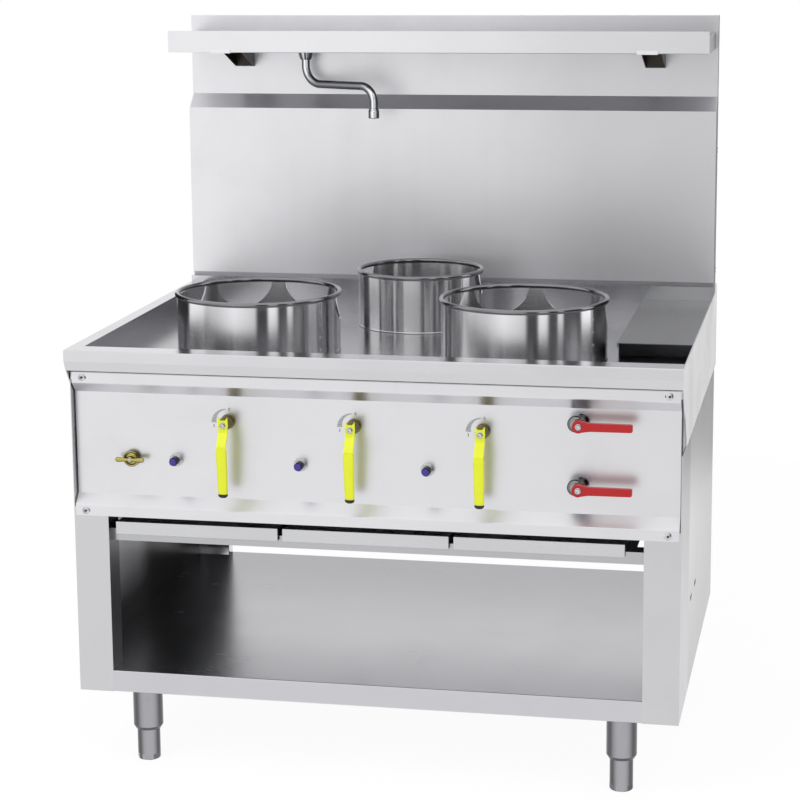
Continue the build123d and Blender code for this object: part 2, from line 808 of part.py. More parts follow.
lever_half = lever_sheet / 2
for number, x in enumerate(valves, start=1):
    with BuildPart() as gas_lever:
        # strip bent from the side, cut to its front outline: pointed head with two prongs
        with BuildSketch(Plane.YZ.offset(x - lever_head / 2)):
            with BuildLine():
                Polyline(*[(y, valve_z + z) for y, z in lever_line])
                offset(amount=lever_half, kind=Kind.INTERSECTION)
            make_face()
        extrude(amount=lever_head)
        with BuildSketch(Plane.XZ.offset(-(lever_plane + lever_head / 2))):
            with Locations((x, valve_z)):
                Circle(lever_head / 2)
            with Locations((x, valve_z - lever_drop / 2)):
                Rectangle(lever_tang, lever_drop)
            with Locations((x, valve_z - grip_top / 2)):
                Rectangle(lever_neck, grip_top - tang_gap)
            for prong in (-1, 1):
                with BuildLine():
                    Polyline(
                        (x + prong * lever_head / 2, valve_z),
                        (x + prong * (lever_head / 2 - 1), valve_z + lever_prong - 3),
                        (x + prong * prong_notch / 2, valve_z + prong_root),
                        (x, valve_z),
                        close=True,
                    )
                make_face()
        extrude(amount=lever_drop, mode=Mode.INTERSECT)
        rod(
            x,
            valve_z,
            lever_plane - 2 * lever_sheet,
            lever_plane + through,
            bolt_shank + turn_gap,
            Mode.SUBTRACT,
        )
    save(gas_lever.part, f"gas_lever_{number}")

    with BuildPart() as gas_lever_grip:
        # tapering sleeve pushed over the strip
        for below, width in ((grip_top, grip_width_top), (grip_low, grip_width_low)):
            with BuildSketch(Plane.XY.offset(valve_z - below)):
                with Locations((x, lever_y(below))):
                    RectangleRounded(width, grip_thick, 3)
        loft(ruled=True)
        for below in (grip_top - 1, grip_low + 1):
            with BuildSketch(Plane.XY.offset(valve_z - below)):
                with Locations((x, lever_y(below))):
                    Rectangle(lever_tang + 2 * tang_gap, lever_sheet + 4 * tang_gap)
        loft(ruled=True, mode=Mode.SUBTRACT)
    save(gas_lever_grip.part, f"gas_lever_grip_{number}")

    with BuildPart() as gas_lever_cap:
        # end piece that closes the sleeve
        with BuildSketch(Plane.XY.offset(valve_z - grip_low)):
            with Locations((x, lever_y(grip_low))):
                RectangleRounded(grip_width_low, grip_thick, 3)
        extrude(amount=-cap_length)
        fillet(gas_lever_cap.faces().sort_by(Axis.Z)[0].edges(), end_round)
        block(
            (x - lever_tang / 2 - tang_gap, x + lever_tang / 2 + tang_gap),
            (lever_y(grip_low) - lever_sheet, lever_y(grip_low) + lever_sheet),
            (valve_z - grip_low - 0.7 * cap_length, valve_z - grip_low),
            Mode.SUBTRACT,
        )
    save(gas_lever_cap.part, f"gas_lever_cap_{number}")

    with BuildPart() as gas_lever_bolt:
        # hexagon head before the lever, round stem into the valve
        head_y = lever_plane - lever_sheet
        rod(x, valve_z, head_y, bore_end - rest_gap, bolt_shank)
        with BuildSketch(Plane.XZ.offset(-head_y)):
            with Locations((x, valve_z)):
                RegularPolygon(bolt_head / 2, 6, major_radius=False)
        extrude(amount=bolt_thick)
    save(gas_lever_bolt.part, f"gas_lever_bolt_{number}")

# ================================================================ igniters and pilot tap
button_y = panel_y - button_reach
barrel_y = button_y + button_proud
guide = 8.0  # button inside its barrel at rest
with BuildPart() as igniter_bezels:
    # stepped ring on the panel round each barrel
    for x in buttons:
        rod(x, row_z, panel_y - bezel_thick, panel_y, bezel_step)
        rod(x, row_z, panel_y - bezel_thick / 2, panel_y, bezel_dia)
        rod(x, row_z, panel_y - 2 * bezel_thick, panel_y, barrel_dia + 2 * turn_gap, Mode.SUBTRACT)
save(igniter_bezels.part, "igniter_bezels")

with BuildPart() as igniter_barrels:
    # tube through the panel, bored from the front for the button
    for x in buttons:
        rod(x, row_z, barrel_y, panel_y + barrel_depth, barrel_dia)
        bore_floor = barrel_y + guide + button_travel + rest_gap
        rod(x, row_z, barrel_y, bore_floor, button_dia + 2 * turn_gap, Mode.SUBTRACT)
save(igniter_barrels.part, "igniter_barrels")

for number, x in enumerate(buttons, start=1):
    with BuildPart() as igniter_button:
        rod(x, row_z, button_y, barrel_y + guide, button_dia)
        fillet(igniter_button.edges().filter_by(GeomType.CIRCLE).sort_by(Axis.Y)[0], end_round)
    save(igniter_button.part, f"igniter_button_{number}")

pilot_y = panel_y - pilot_reach
pilot_seat = pilot_y + pilot_wing_height + turn_gap
with BuildPart() as pilot_tap_body:
    # rosette on the panel, neck through it, round body that reaches the gas pipe
    rod(pilot_x, row_z, panel_y - bezel_thick, panel_y, pilot_ring)
    rod(pilot_x, row_z, pilot_seat, panel_y + case_sheet, pilot_neck)
    rod(pilot_x, row_z, panel_y + case_sheet, gas_y - gas_pipe / 2 - turn_gap, pilot_body)
    rod(pilot_x, row_z, pilot_seat, panel_y + tap_bore, pilot_stem + 2 * turn_gap, Mode.SUBTRACT)
save(pilot_tap_body.part, "pilot_tap_body")

with BuildPart() as pilot_tap_handle:
    # two rounded wings on a hub, and the stem
    with BuildSketch(Plane.XZ.offset(-(pilot_y + pilot_wing_thick))):
        for wing in (-1, 1):
            tip = pilot_wing - pilot_wing_height / 2
            with Locations((pilot_x + wing * tip, row_z)):
                Circle(pilot_wing_height / 2)
            with BuildLine():
                Polyline(
                    (pilot_x, row_z - pilot_wing_thick / 2),
                    (pilot_x + wing * tip, row_z - pilot_wing_height / 2),
                    (pilot_x + wing * tip, row_z + pilot_wing_height / 2),
                    (pilot_x, row_z + pilot_wing_thick / 2),
                    close=True,
                )
            make_face()
    extrude(amount=pilot_wing_thick)
    rod(pilot_x, row_z, pilot_y, pilot_y + pilot_wing_height, pilot_boss)
    rod(pilot_x, row_z, pilot_y, panel_y + tap_bore - rest_gap, pilot_stem)
save(pilot_tap_handle.part, "pilot_tap_handle")

# ================================================================ water valves and levers
water_back = front - water_plane + 2 * water_arm_thick  # back of the lever hub
water_body_y = panel_y + case_sheet + water_body_depth / 2
with BuildPart() as water_valves:
    # gland before the panel, round body behind it with a boss above and below for the pipes
    for z in water_z:
        rod(water_x, z, panel_y - bezel_thick, panel_y, water_ring)
        rod(water_x, z, water_back + turn_gap, panel_y + case_sheet, valve_neck)
        body_end = panel_y + case_sheet + water_body_depth
        rod(water_x, z, panel_y + case_sheet, body_end, water_body)
        reach = water_body / 2 + water_boss_length
        post(water_x, water_body_y, z - reach, z + reach, water_boss)
        rod(water_x, z, water_back, panel_y + tap_bore, water_stem + 2 * turn_gap, Mode.SUBTRACT)
save(water_valves.part, "water_valves")

for name, z in zip(("lower", "upper"), water_z):
    with BuildPart() as water_lever:
        # round hub that narrows to a flat arm with a rounded end
        rod(water_x, z, front - water_plane, water_back, water_hub)
        with BuildSketch(Plane.XZ.offset(-(front - water_plane + water_arm_thick))):
            with BuildLine():
                Polyline(
                    (water_x, z - water_hub / 2),
                    (water_x + water_hub, z - water_arm / 2),
                    (water_x + water_hub, z + water_arm / 2),
                    (water_x, z + water_hub / 2),
                    close=True,
                )
            make_face()
            with Locations((water_x + (water_hub + water_reach) / 2, z)):
                Rectangle(water_reach - water_hub, water_arm)
        extrude(amount=water_arm_thick)
        fillet(water_lever.edges().filter_by(Axis.Y).sort_by(Axis.X)[-2:], arm_round)
        rod(water_x, z, front - 2 * water_plane, water_back + through, water_stem + turn_gap, Mode.SUBTRACT)
    save(water_lever.part, f"water_lever_{name}")

    with BuildPart() as water_lever_screw:
        # round head on the hub, its shank the stem of the valve
        rod(water_x, z, front - water_plane - water_screw_thick, front - water_plane, water_screw)
        rod(water_x, z, front - water_plane - water_screw_thick, panel_y + tap_bore - rest_gap, water_stem)
    save(water_lever_screw.part, f"water_lever_screw_{name}")

# ================================================================ burners and pipes
burner_top = floor_z + burner_proud
burner_z = burner_top - burner_height
with BuildPart() as burners:
    # cast bowl with a sloping wall full of jets and a middle boss
    for cx, cy, radius, bite, turns in rings.values():
        bowl = radius - hole_inset - burner_inset
        foot = bowl - burner_slope
        with BuildSketch(Plane.XZ.offset(-cy)):
            with BuildLine():
                Polyline(
                    (cx, burner_z),
                    (cx + foot, burner_z),
                    (cx + bowl, burner_z + burner_knee * burner_height),
                    (cx + bowl, burner_top),
                    (cx + bowl - burner_wall, burner_top),
                    (cx + bowl - burner_wall, burner_z + burner_knee * burner_height + burner_wall / 2),
                    (cx + foot - burner_wall / 2, burner_z + burner_wall),
                    (cx + burner_boss, burner_z + burner_wall),
                    (cx + burner_boss_top, burner_top - burner_wall),
                    (cx, burner_top - burner_wall),
                    close=True,
                )
            make_face()
        revolve(axis=Axis((cx, cy, 0), (0, 0, 1)))
        with BuildSketch(Plane.XY.offset(burner_z)):
            with Locations((cx, cy)):
                with PolarLocations(foot + burner_slope / 2, jets):
                    Circle(jet_bore / 2)
        extrude(amount=burner_height, mode=Mode.SUBTRACT)
save(burners.part, "burners")

with BuildPart() as burner_supports:
    # flat bar under the front burners and under the back one, from side to side
    for y in (ring_row_y, back_ring_y):
        block(
            (-inside, inside),
            (y - support_width / 2, y + support_width / 2),
            (burner_z - support_thick, burner_z),
        )
save(burner_supports.part, "burner_supports")

for name, (cx, cy, radius, bite, turns) in rings.items():
    rod_z = floor_z + ring_rise
    with BuildPart() as wok_ring:
        # rolled band that stands on the hob floor, its back bitten out, with a rod round the rim
        with BuildSketch(Plane.XY.offset(floor_z + rest_gap)):
            with Locations((cx, cy)):
                Circle(radius + ring_sheet / 2)
                Circle(radius - ring_sheet / 2, mode=Mode.SUBTRACT)
        extrude(amount=ring_rise - rest_gap)
        for turn in turns:
            away = Vector(sin(radians(turn)), cos(radians(turn)), 0)
            with BuildSketch(Plane(origin=(cx, cy, rod_z + bite_drop), z_dir=away)):
                Circle(bite)
            extrude(amount=radius + ring_rod, mode=Mode.SUBTRACT)
        with Locations((cx, cy, rod_z)):
            Torus(radius, ring_rod / 2)
    save(wok_ring.part, f"wok_ring_{name}")

valve_back = panel_y + case_sheet + valve_depth
with BuildPart() as gas_pipes:
    # supply pipe from the back, along the valves, with a drop to each
    with BuildLine() as gas_path:
        FilletPolyline(
            (valves[-1] + gas_end, gas_y, row_z),
            (gas_x, gas_y, row_z),
            (gas_x, rear, row_z),
            radius=gas_bend,
        )
    with BuildSketch(Plane.YZ.offset(valves[-1] + gas_end)):
        with Locations((gas_y, row_z)):
            Circle(gas_pipe / 2)
    sweep(path=gas_path.wires()[0])
    for x in valves:
        post(x, gas_y, row_z, valve_z - valve_body / 2, gas_drop)
    # nipple and locknut behind the rear panel
    rod(gas_x, row_z, back_face, rear - nipple_length, gas_nipple + lock_nut)
    rod(gas_x, row_z, back_face, rear, gas_nipple)
    rod(gas_x, row_z, back_face, rear, gas_nipple - 2 * nipple_wall, Mode.SUBTRACT)
    # feed from each valve to the foot of its burner
    for x, (cx, cy, radius, bite, turns) in zip(
        valves, (rings["left"], rings["back"], rings["right"])
    ):
        with BuildLine() as feed_path:
            FilletPolyline(
                (x, valve_back, valve_z),
                (x, cy - feed_back, valve_z),
                (x, cy - feed_back, burner_z),
                radius=1.5 * feed_pipe,
            )
        with BuildSketch(Plane.XZ.offset(-valve_back)):
            with Locations((x, valve_z)):
                Circle(feed_pipe / 2)
        sweep(path=feed_path.wires()[0])
save(gas_pipes.part, "gas_pipes")

water_low = water_z[0] - water_body / 2 - water_boss_length
water_high = water_z[1] + water_body / 2 + water_boss_length
with BuildPart() as water_pipes:
    # supply from the back to the lower valve
    with BuildLine() as supply_path:
        FilletPolyline(
            (water_x, water_body_y, water_low),
            (water_x, water_body_y, supply_z),
            (water_x, rear, supply_z),
            radius=supply_bend,
        )
    with BuildSketch(Plane.XY.offset(water_low)):
        with Locations((water_x, water_body_y)):
            Circle(riser_pipe / 2)
    sweep(path=supply_path.wires()[0])
    rod(water_x, supply_z, back_face, rear - nipple_length, water_nipple + lock_nut)
    rod(water_x, supply_z, back_face, rear, water_nipple)
    rod(water_x, supply_z, back_face, rear, water_nipple - 2 * nipple_wall, Mode.SUBTRACT)
    # bridge between the valves
    post(
        water_x,
        water_body_y,
        water_z[0] + water_body / 2 + water_boss_length,
        water_z[1] - water_body / 2 - water_boss_length,
        riser_pipe,
    )
    # riser: under the hob, up into the splash wall, across and up to the spout
    with BuildLine() as riser_path:
        FilletPolyline(
            (water_x, water_body_y, water_high),
            (water_x, water_body_y, water_high_z),
            (water_x, riser_y, water_high_z),
            (water_x, riser_y, cross_z),
            (spout_x, riser_y, cross_z),
            (spout_x, riser_y, faucet_z),
            (spout_x, splash_high_y + case_sheet, faucet_z),
            radius=(supply_bend, supply_bend, supply_bend, supply_bend, 0.7 * supply_bend),
        )
    with BuildSketch(Plane.XY.offset(water_high)):
        with Locations((water_x, water_body_y)):
            Circle(riser_pipe / 2)
    sweep(path=riser_path.wires()[0])
save(water_pipes.part, "water_pipes")

# ================================================================ base
under_hob = floor_z - hob_sheet
for side, name in ((-1, "left"), (1, "right")):
    with BuildPart() as side_panel:
        # flat side with a foot turned inward and two vent slots
        skin = sorted((side * inside, side * cabinet))
        turned = sorted((side * (cabinet - rail_face), side * cabinet))
        block(skin, (front + side_strip, back_face), (base_bottom, under_hob))
        block(
            turned,
            (front + side_strip, back_face - rear_post_return - case_sheet),
            (base_bottom, base_bottom + case_sheet),
        )
        for y, z in slots:
            with BuildSketch(Plane.YZ.offset(-cabinet - 1)):
                with Locations((front + y, z)):
                    SlotOverall(slot_length, slot_height)
            extrude(amount=2 * cabinet + 2, mode=Mode.SUBTRACT)
    save(side_panel.part, f"side_panel_{name}")

with BuildPart() as rear_posts:
    # two posts folded to an angle at the back corners
    for side in (-1, 1):
        block(
            sorted((side * post_x, side * inside)),
            (back_face - case_sheet, back_face),
            (base_bottom, under_hob - case_sheet),
        )
        block(
            sorted((side * post_x, side * (post_x + case_sheet))),
            (back_face - rear_post_return, back_face),
            (base_bottom, under_hob - case_sheet),
        )
save(rear_posts.part, "rear_posts")

with BuildPart() as rear_panel:
    # closes the burner space at the back; its foot, turned forward, carries the tray runners
    block(
        (-post_x, post_x), (back_face - case_sheet, back_face), (rear_panel_low, under_hob)
    )
    block(
        (-post_x, post_x),
        (back_face - rear_panel_foot, back_face),
        (rear_panel_low, rear_panel_low + case_sheet),
    )
    for x, z, pipe in (
        (gas_x, row_z, gas_pipe),
        (water_x, supply_z, riser_pipe),
        (water_x, water_high_z, riser_pipe + 2 * bend_hole),
        (drain_x, waste_z, drain_bore + 2 * drain_wall),
    ):
        rod(x, z, back_face - 5, back_face + 5, pipe + 2 * hole_gap, Mode.SUBTRACT)
save(rear_panel.part, "rear_panel")

with BuildPart() as base_shelf:
    # bottom shelf folded down at front and back, wider between the corner posts
    with BuildSketch(Plane.YZ.offset(-post_x)):
        with BuildLine():
            FilletPolyline(
                (front + shelf_lower_lip, base_bottom),
                (front, base_bottom),
                (front, shelf_floor_z),
                (back_face, shelf_floor_z),
                (back_face, base_bottom),
                (back_face - shelf_lower_lip, base_bottom),
                radius=bend,
            )
            offset(amount=case_sheet, side=Side.RIGHT)
        make_face()
    extrude(amount=2 * post_x)
    for side in (-1, 1):
        block(
            sorted((side * (post_x - 1), side * inside)),
            (front + post_return, back_face - rear_post_return),
            (shelf_floor_z - case_sheet, shelf_floor_z),
        )
        # channel under the shelf that the legs bolt to
        edge = sorted((side * (leg_x - bearer_width / 2), side * (leg_x + bearer_width / 2)))
        along = (front + shelf_lower_lip, back_face - shelf_lower_lip)
        block(edge, along, (base_bottom, base_bottom + 2 * case_sheet))
        for x in edge:
            wall = (x, x + case_sheet) if x == edge[0] else (x - case_sheet, x)
            block(wall, along, (base_bottom, shelf_floor_z - case_sheet))
save(base_shelf.part, "base_shelf")

# ================================================================ trays
tray_rest = tray_floor_z + rest_gap
with BuildPart() as tray_frame:
    # cross rail behind the tray fronts, and a runner under every pair of tray edges
    cross_y = front + cross_rail_y
    block(
        (-post_x, post_x), (cross_y, cross_y + case_sheet), (tray_floor_z - cross_rail_face, tray_floor_z)
    )
    block(
        (-post_x, post_x),
        (cross_y, cross_y + cross_rail_tread),
        (tray_floor_z - case_sheet, tray_floor_z),
    )
    for i in range(4):
        mid = tray_x - tray_pitch / 2 + tray_pitch * i
        x0 = max(mid - runner_width / 2, -post_x + side_gap)
        block(
            (x0, mid + runner_width / 2),
            (cross_y + cross_rail_tread - 1, back_face - case_sheet),
            (tray_floor_z - case_sheet, tray_floor_z),
        )
        block(
            (mid - case_sheet / 2, mid + case_sheet / 2),
            (cross_y, back_face - rear_panel_foot - side_gap),
            (tray_floor_z - cross_rail_face, tray_floor_z - case_sheet),
        )
save(tray_frame.part, "tray_frame")

for number, x in enumerate(trays, start=1):
    with BuildPart() as drip_tray:
        # shallow pan whose front is folded over and down to make the pull
        x0 = x - tray_width / 2
        x1 = x + tray_width / 2
        pan_y = front + tray_lead + tray_lip_return
        block((x0, x1), (pan_y, pan_y + tray_length), (tray_rest, tray_rest + tray_wall))
        block(
            (x0 + case_sheet, x1 - case_sheet),
            (pan_y + case_sheet, pan_y + tray_length - case_sheet),
            (tray_rest + case_sheet, tray_rest + tray_wall),
            Mode.SUBTRACT,
        )
        lip_low = tray_rest - tray_lip_low
        lip_top = tray_rest + tray_lip_top
        lip_y = front + tray_lead
        block((x0, x1), (lip_y, lip_y + case_sheet), (lip_low, lip_top))
        block((x0, x1), (lip_y, pan_y + case_sheet), (lip_top - case_sheet, lip_top))
        block((x0, x1), (pan_y, pan_y + case_sheet), (tray_rest, lip_top))
        block((x0, x1), (lip_y, pan_y), (lip_low, lip_low + case_sheet))
        fillet(
            drip_tray.edges().filter_by(Axis.X).group_by(Axis.Y)[0], lip_round
        )
    save(drip_tray.part, f"drip_tray_{number}")

# ================================================================ legs
legs = {
    "front_left": (-leg_x, front + leg_in),
    "front_right": (leg_x, front + leg_in),
    "rear_left": (-leg_x, back_face - leg_in),
    "rear_right": (leg_x, back_face - leg_in),
}
with BuildPart() as leg_tubes:
    # plate under the bearer, tube, and a closing collar that guides the foot
    tube_top = base_bottom - leg_plate_thick
    for x, y in legs.values():
        half_plate = leg_plate / 2
        block(
            (x - half_plate, x + half_plate),
            (y - half_plate, y + half_plate),
            (tube_top, base_bottom),
        )
        post(x, y, leg_shoulder_z, tube_top, leg_tube)
        with Locations((x, y, leg_shoulder_z - leg_collar / 2)):
            Cone(foot_dia / 2 + leg_wall + 1, leg_tube / 2, leg_collar)
        post(x, y, leg_shoulder_z + leg_wall, tube_top, leg_tube - 2 * leg_wall, Mode.SUBTRACT)
        post(
            x,
            y,
            leg_shoulder_z - leg_collar,
            leg_shoulder_z + leg_wall,
            foot_dia + 2 * turn_gap,
            Mode.SUBTRACT,
        )
save(leg_tubes.part, "leg_tubes")

for name, (x, y) in legs.items():
    with BuildPart() as foot:
        # round plunger with a hexagon to turn it by
        post(x, y, 0, leg_shoulder_z + foot_guide, foot_dia)
        fillet(foot.edges().filter_by(GeomType.CIRCLE).sort_by(Axis.Z)[0], foot_round)
        with BuildSketch():
            with Locations((x, y)):
                Circle(foot_dia)
                RegularPolygon(foot_dia / 2 - 1.5, 6, major_radius=False, mode=Mode.SUBTRACT)
        extrude(amount=foot_nut, mode=Mode.SUBTRACT)
    save(foot.part, f"foot_{name}")
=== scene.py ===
from functools import partialmethod
from math import copysign, cos, pi, radians, sin

import bmesh
import bpy
from bpy.props import FloatProperty, FloatVectorProperty, IntProperty
from mathutils import Matrix, Vector


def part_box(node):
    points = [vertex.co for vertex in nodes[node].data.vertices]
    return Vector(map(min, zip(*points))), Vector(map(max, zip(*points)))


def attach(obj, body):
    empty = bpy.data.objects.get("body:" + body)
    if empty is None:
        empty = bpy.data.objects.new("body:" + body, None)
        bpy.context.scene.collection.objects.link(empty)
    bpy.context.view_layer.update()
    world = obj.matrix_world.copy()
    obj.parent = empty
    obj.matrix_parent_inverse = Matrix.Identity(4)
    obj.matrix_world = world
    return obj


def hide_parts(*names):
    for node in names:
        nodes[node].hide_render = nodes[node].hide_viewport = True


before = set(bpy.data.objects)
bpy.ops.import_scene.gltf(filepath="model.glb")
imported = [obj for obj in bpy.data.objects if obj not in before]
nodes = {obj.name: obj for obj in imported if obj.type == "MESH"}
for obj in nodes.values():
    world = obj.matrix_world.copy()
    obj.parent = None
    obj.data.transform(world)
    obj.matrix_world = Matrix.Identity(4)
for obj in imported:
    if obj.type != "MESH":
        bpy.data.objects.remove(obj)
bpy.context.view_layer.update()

bl_info = {
    "name": "Wok range",
    "version": (1, 0, 0),
    "blender": (4, 5, 0),
    "location": "3D View > Sidebar > Wok range",
    "description": "Finishes and fine pieces of a three-burner wok range",
    "category": "Object",
}


# ---- what a user may change
def linear(code):
    """A colour written as #RRGGBB, as Blender's linear values."""
    parts = [int(code[i:i + 2], 16) / 255 for i in (1, 3, 5)]
    return tuple(c / 12.92 if c <= 0.04045 else ((c + 0.055) / 1.055) ** 2.4 for c in parts)


def maker(kind, **shared):
    """Makes properties of one kind from a value, a name and a description."""
    return lambda value, name, text: kind(name=name, description=text, default=value, **shared)


paint = maker(FloatVectorProperty, subtype="COLOR", min=0, max=1)
share = maker(FloatProperty, subtype="FACTOR", min=0, max=1)
length = maker(FloatProperty, unit="LENGTH", precision=4)
angle = maker(FloatProperty, subtype="ANGLE")
number = maker(FloatProperty)
light = maker(FloatProperty, min=0)
count = maker(IntProperty, min=1)


def tint(code, name, text):
    return paint(linear(code), name, text)


class WokRangeFinishes(bpy.types.PropertyGroup):
    hob: tint("#D2D2D5", "Hob steel", "Folded hob, nose and aprons")
    panel: tint("#E2E2E5", "Panel steel", "Control panel")
    side: tint("#F8F8FA", "Side steel", "Side panels")
    wall: tint("#F0F0F3", "Splash wall steel", "Splash wall")
    cover: tint("#88898B", "Cover steel", "Trough cover")
    shelf: tint("#CBCBCF", "Shelf steel", "Bottom shelf")
    lip: tint("#E8E8EB", "Wall shelf steel", "Wall shelf and its lip")
    tray: tint("#CFCFD2", "Tray steel", "Drip trays and their rails")
    ring: tint("#DEDEE0", "Ring steel", "Wok rings")
    # painted darker reflection: the rim rods are the ring steel, drawn darker
    rod: tint("#8A8A8E", "Rim rods", "Rods round the rims of the wok rings")
    post: tint("#CFCFD1", "Post steel", "Front posts and side strips")
    # painted shade: the colour of the side sheets' inner faces in the shaded bay under the panel
    mill: tint("#4A4A4C", "Mill finish", "Inner faces of the side sheets")
    shade: tint("#3B3733", "Bracket shade", "Cheeks of the shelf brackets, out of the light")
    leg: tint("#A8A8AC", "Leg steel", "Legs and feet")
    plating: tint("#D0D1D4", "Chrome", "Spout, bezels and valve hubs")
    brass: tint("#B8AC66", "Brass", "Pilot tap and valve bodies")
    grip: tint("#E3EA26", "Grip yellow", "Sleeves and strips of the gas levers")
    lever: tint("#B0060C", "Lever red", "Water levers")
    button: tint("#3A2E8C", "Button blue", "Igniter buttons")
    iron: tint("#2B2826", "Iron", "Burners and the bars that carry them")
    rubber: tint("#141414", "Black plastic", "Lever ends, igniter barrels and figures")
    scale_grey: tint("#9B9DA1", "Scale grey", "Printed heat scales round the gas levers")
    scale_mark: tint("#F4F4F4", "Scale marks", "Ticks on the heat scales")
    brushing: share(0.10, "Brushing", "How strongly the brushed lines show")


class WokRangePieces(bpy.types.PropertyGroup):
    scale_inner: length(0.019, "Scale inside", "Inner radius of a heat scale at its wide end")
    scale_wide: length(0.0300, "Scale wide end", "Outer radius of a heat scale at its wide end")
    scale_thin: length(0.0275, "Scale thin end", "Outer radius of a heat scale at its thin end")
    scale_shift: length(-0.0045, "Scale shift", "Heat scale to the right of its lever's pivot")
    scale_drop: length(-0.0035, "Scale height", "Heat scale above its lever's pivot")
    scale_ticks: count(9, "Scale ticks", "Ticks on a heat scale")
    figure_size: length(0.0085, "Figure size", "Height of the figures on the heat scales")
    button_ribs: count(22, "Button ribs", "Ribs round an igniter button")
    hub_ribs: count(44, "Hub ribs", "Ribs round a gas valve's collar")
    screw_washer: length(0.0074, "Cup washer", "Radius of a corner screw's cup washer")
    screw_head: length(0.0040, "Screw head", "Radius of a corner screw's head")
    screw_socket: length(0.0026, "Screw socket", "Radius of a corner screw's socket")
    ring_beads: count(4, "Ring welds", "Weld dots up the lap seam of a wok ring")


class WokRangeStage(bpy.types.PropertyGroup):
    place: maker(FloatVectorProperty, subtype="TRANSLATION")(
        (0.913905, -4.583686, 1.677819), "Camera place", "Where the camera stands")
    turn: angle(radians(11.586), "Camera turn", "About the upright axis")
    tilt: angle(radians(79.528), "Camera tilt", "Up from straight down")
    roll: angle(radians(-0.482), "Camera roll", "About the line of sight")
    lens: number(102.504, "Lens", "Focal length in millimetres")
    shift: number(-0.075, "Camera shift", "How far the picture is moved up, as a share of its width")
    soft_light: share(0.72, "Soft light", "Even light on plastics and paint")
    ceiling: light(1.12, "Ceiling", "How light the ceiling looks in the steel")
    room: light(1.18, "Room", "How light the walls of the studio look in the steel")


# ---- node trees
class Signal:
    """A value socket that takes part in Python sums."""

    def __init__(self, recipe, socket):
        self.recipe, self.socket = recipe, socket

    def math(self, operation, *others):
        return self.recipe.math(operation, self, *others)

    def __rsub__(self, other):
        return self.recipe.math("SUBTRACT", other, self)

    def between(self, low, high):
        """This value's way from low to high, from 0 to 1, smoothed and kept inside them."""
        return self.recipe.add("MapRange", 0, {"Value": self, "From Min": low, "From Max": high},
                               interpolation_type="SMOOTHSTEP")


for sign, operation in (("add", "ADD"), ("radd", "ADD"), ("sub", "SUBTRACT"), ("mul", "MULTIPLY"),
                        ("rmul", "MULTIPLY"), ("truediv", "DIVIDE"), ("gt", "GREATER_THAN"),
                        ("lt", "LESS_THAN"), ("abs", "ABSOLUTE")):
    setattr(Signal, f"__{sign}__", partialmethod(Signal.math, operation))


def pick(sockets, key):
    """The socket with this number, or the one in use with this name or identifier."""
    if isinstance(key, int):
        return sockets[key]
    return next(s for s in sockets if key in (s.identifier, s.name) and s.enabled)


class Recipe:
    """A shader node tree under construction."""
    family = "ShaderNode"

    def __init__(self, tree):
        self.tree = tree
        tree.nodes.clear()

    def add(self, kind, output=0, sockets=None, stops=None, **settings):
        """Adds a node and returns its output of that number or name, or nothing for None."""
        node = self.tree.nodes.new(("ShaderNode" if kind == "Math" else self.family) + kind)
        for key, value in settings.items():
            setattr(node, key, value)
        if stops:
            ramp = node.color_ramp
            while len(ramp.elements) < len(stops):
                ramp.elements.new(1.0)
            for element, (at, light) in zip(ramp.elements, stops):
                element.position, element.color = at, (light, light, light, 1.0)
        for key, value in (sockets or {}).items():
            socket = pick(node.inputs, key)
            for part in value if isinstance(value, list) else [value]:
                if isinstance(part, Signal):
                    self.tree.links.new(part.socket, socket)
                elif socket.type == "RGBA":
                    socket.default_value = (*part, 1.0)
                else:
                    socket.default_value = part
        return None if output is None else Signal(self, pick(node.outputs, output))

    def math(self, operation, *values):
        return self.add("Math", 0, dict(enumerate(values)), operation=operation)

    def mix(self, amount, first, second):
        return self.add("Mix", "Result_Color", {"Factor_Float": amount, "A_Color": first,
                                                "B_Color": second}, data_type="RGBA", clamp_factor=True)

    def axis(self, name, space="Object"):
        """The X, Y or Z of the point that is shaded."""
        return self.add("SeparateXYZ", name, {0: self.add("TexCoord", space)})

    def noise(self, scale, stretch=(1, 1, 1), detail=4.0, rough=0.6, warp=0.0):
        where = self.add("Mapping", 0, {"Vector": self.add("TexCoord", "Object"), "Scale": stretch})
        return self.add("TexNoise", 0, {"Vector": where, "Scale": scale, "Detail": detail,
                                        "Roughness": rough, "Distortion": warp})

    def bump(self, height, strength, distance):
        return self.add("Bump", 0, {"Height": height, "Strength": strength, "Distance": distance})

    def ray(self, *kinds):
        """1 for a ray of one of these kinds, 0 for any other."""
        met = sum(self.add("LightPath", f"Is {kind} Ray") for kind in kinds)
        return met.math("MINIMUM", 1.0)


def times(colour, factor):
    """A colour made lighter or darker, up to white."""
    return tuple(min(1.0, c * factor) for c in colour)


def finish_named(name, build, metal=1.0, **fixed):
    """A material whose colour, roughness and normal come from build(recipe)."""
    material = bpy.data.materials.new(name)
    material.use_nodes = True
    recipe = Recipe(material.node_tree)
    base, rough, normal = build(recipe)
    recipe.add("OutputMaterial", None, {"Surface": recipe.add("BsdfPrincipled", "BSDF", {
        "Base Color": base, "Roughness": rough, "Metallic": metal, "Normal": normal, **fixed})})
    return material


# how a noise is stretched into lines along each axis, or round an upright tube
GRAIN = {"x": (1.2, 90.0, 90.0), "y": (90.0, 1.2, 90.0), "z": (90.0, 90.0, 1.2),
         "round": (1.5, 1.5, 120.0)}


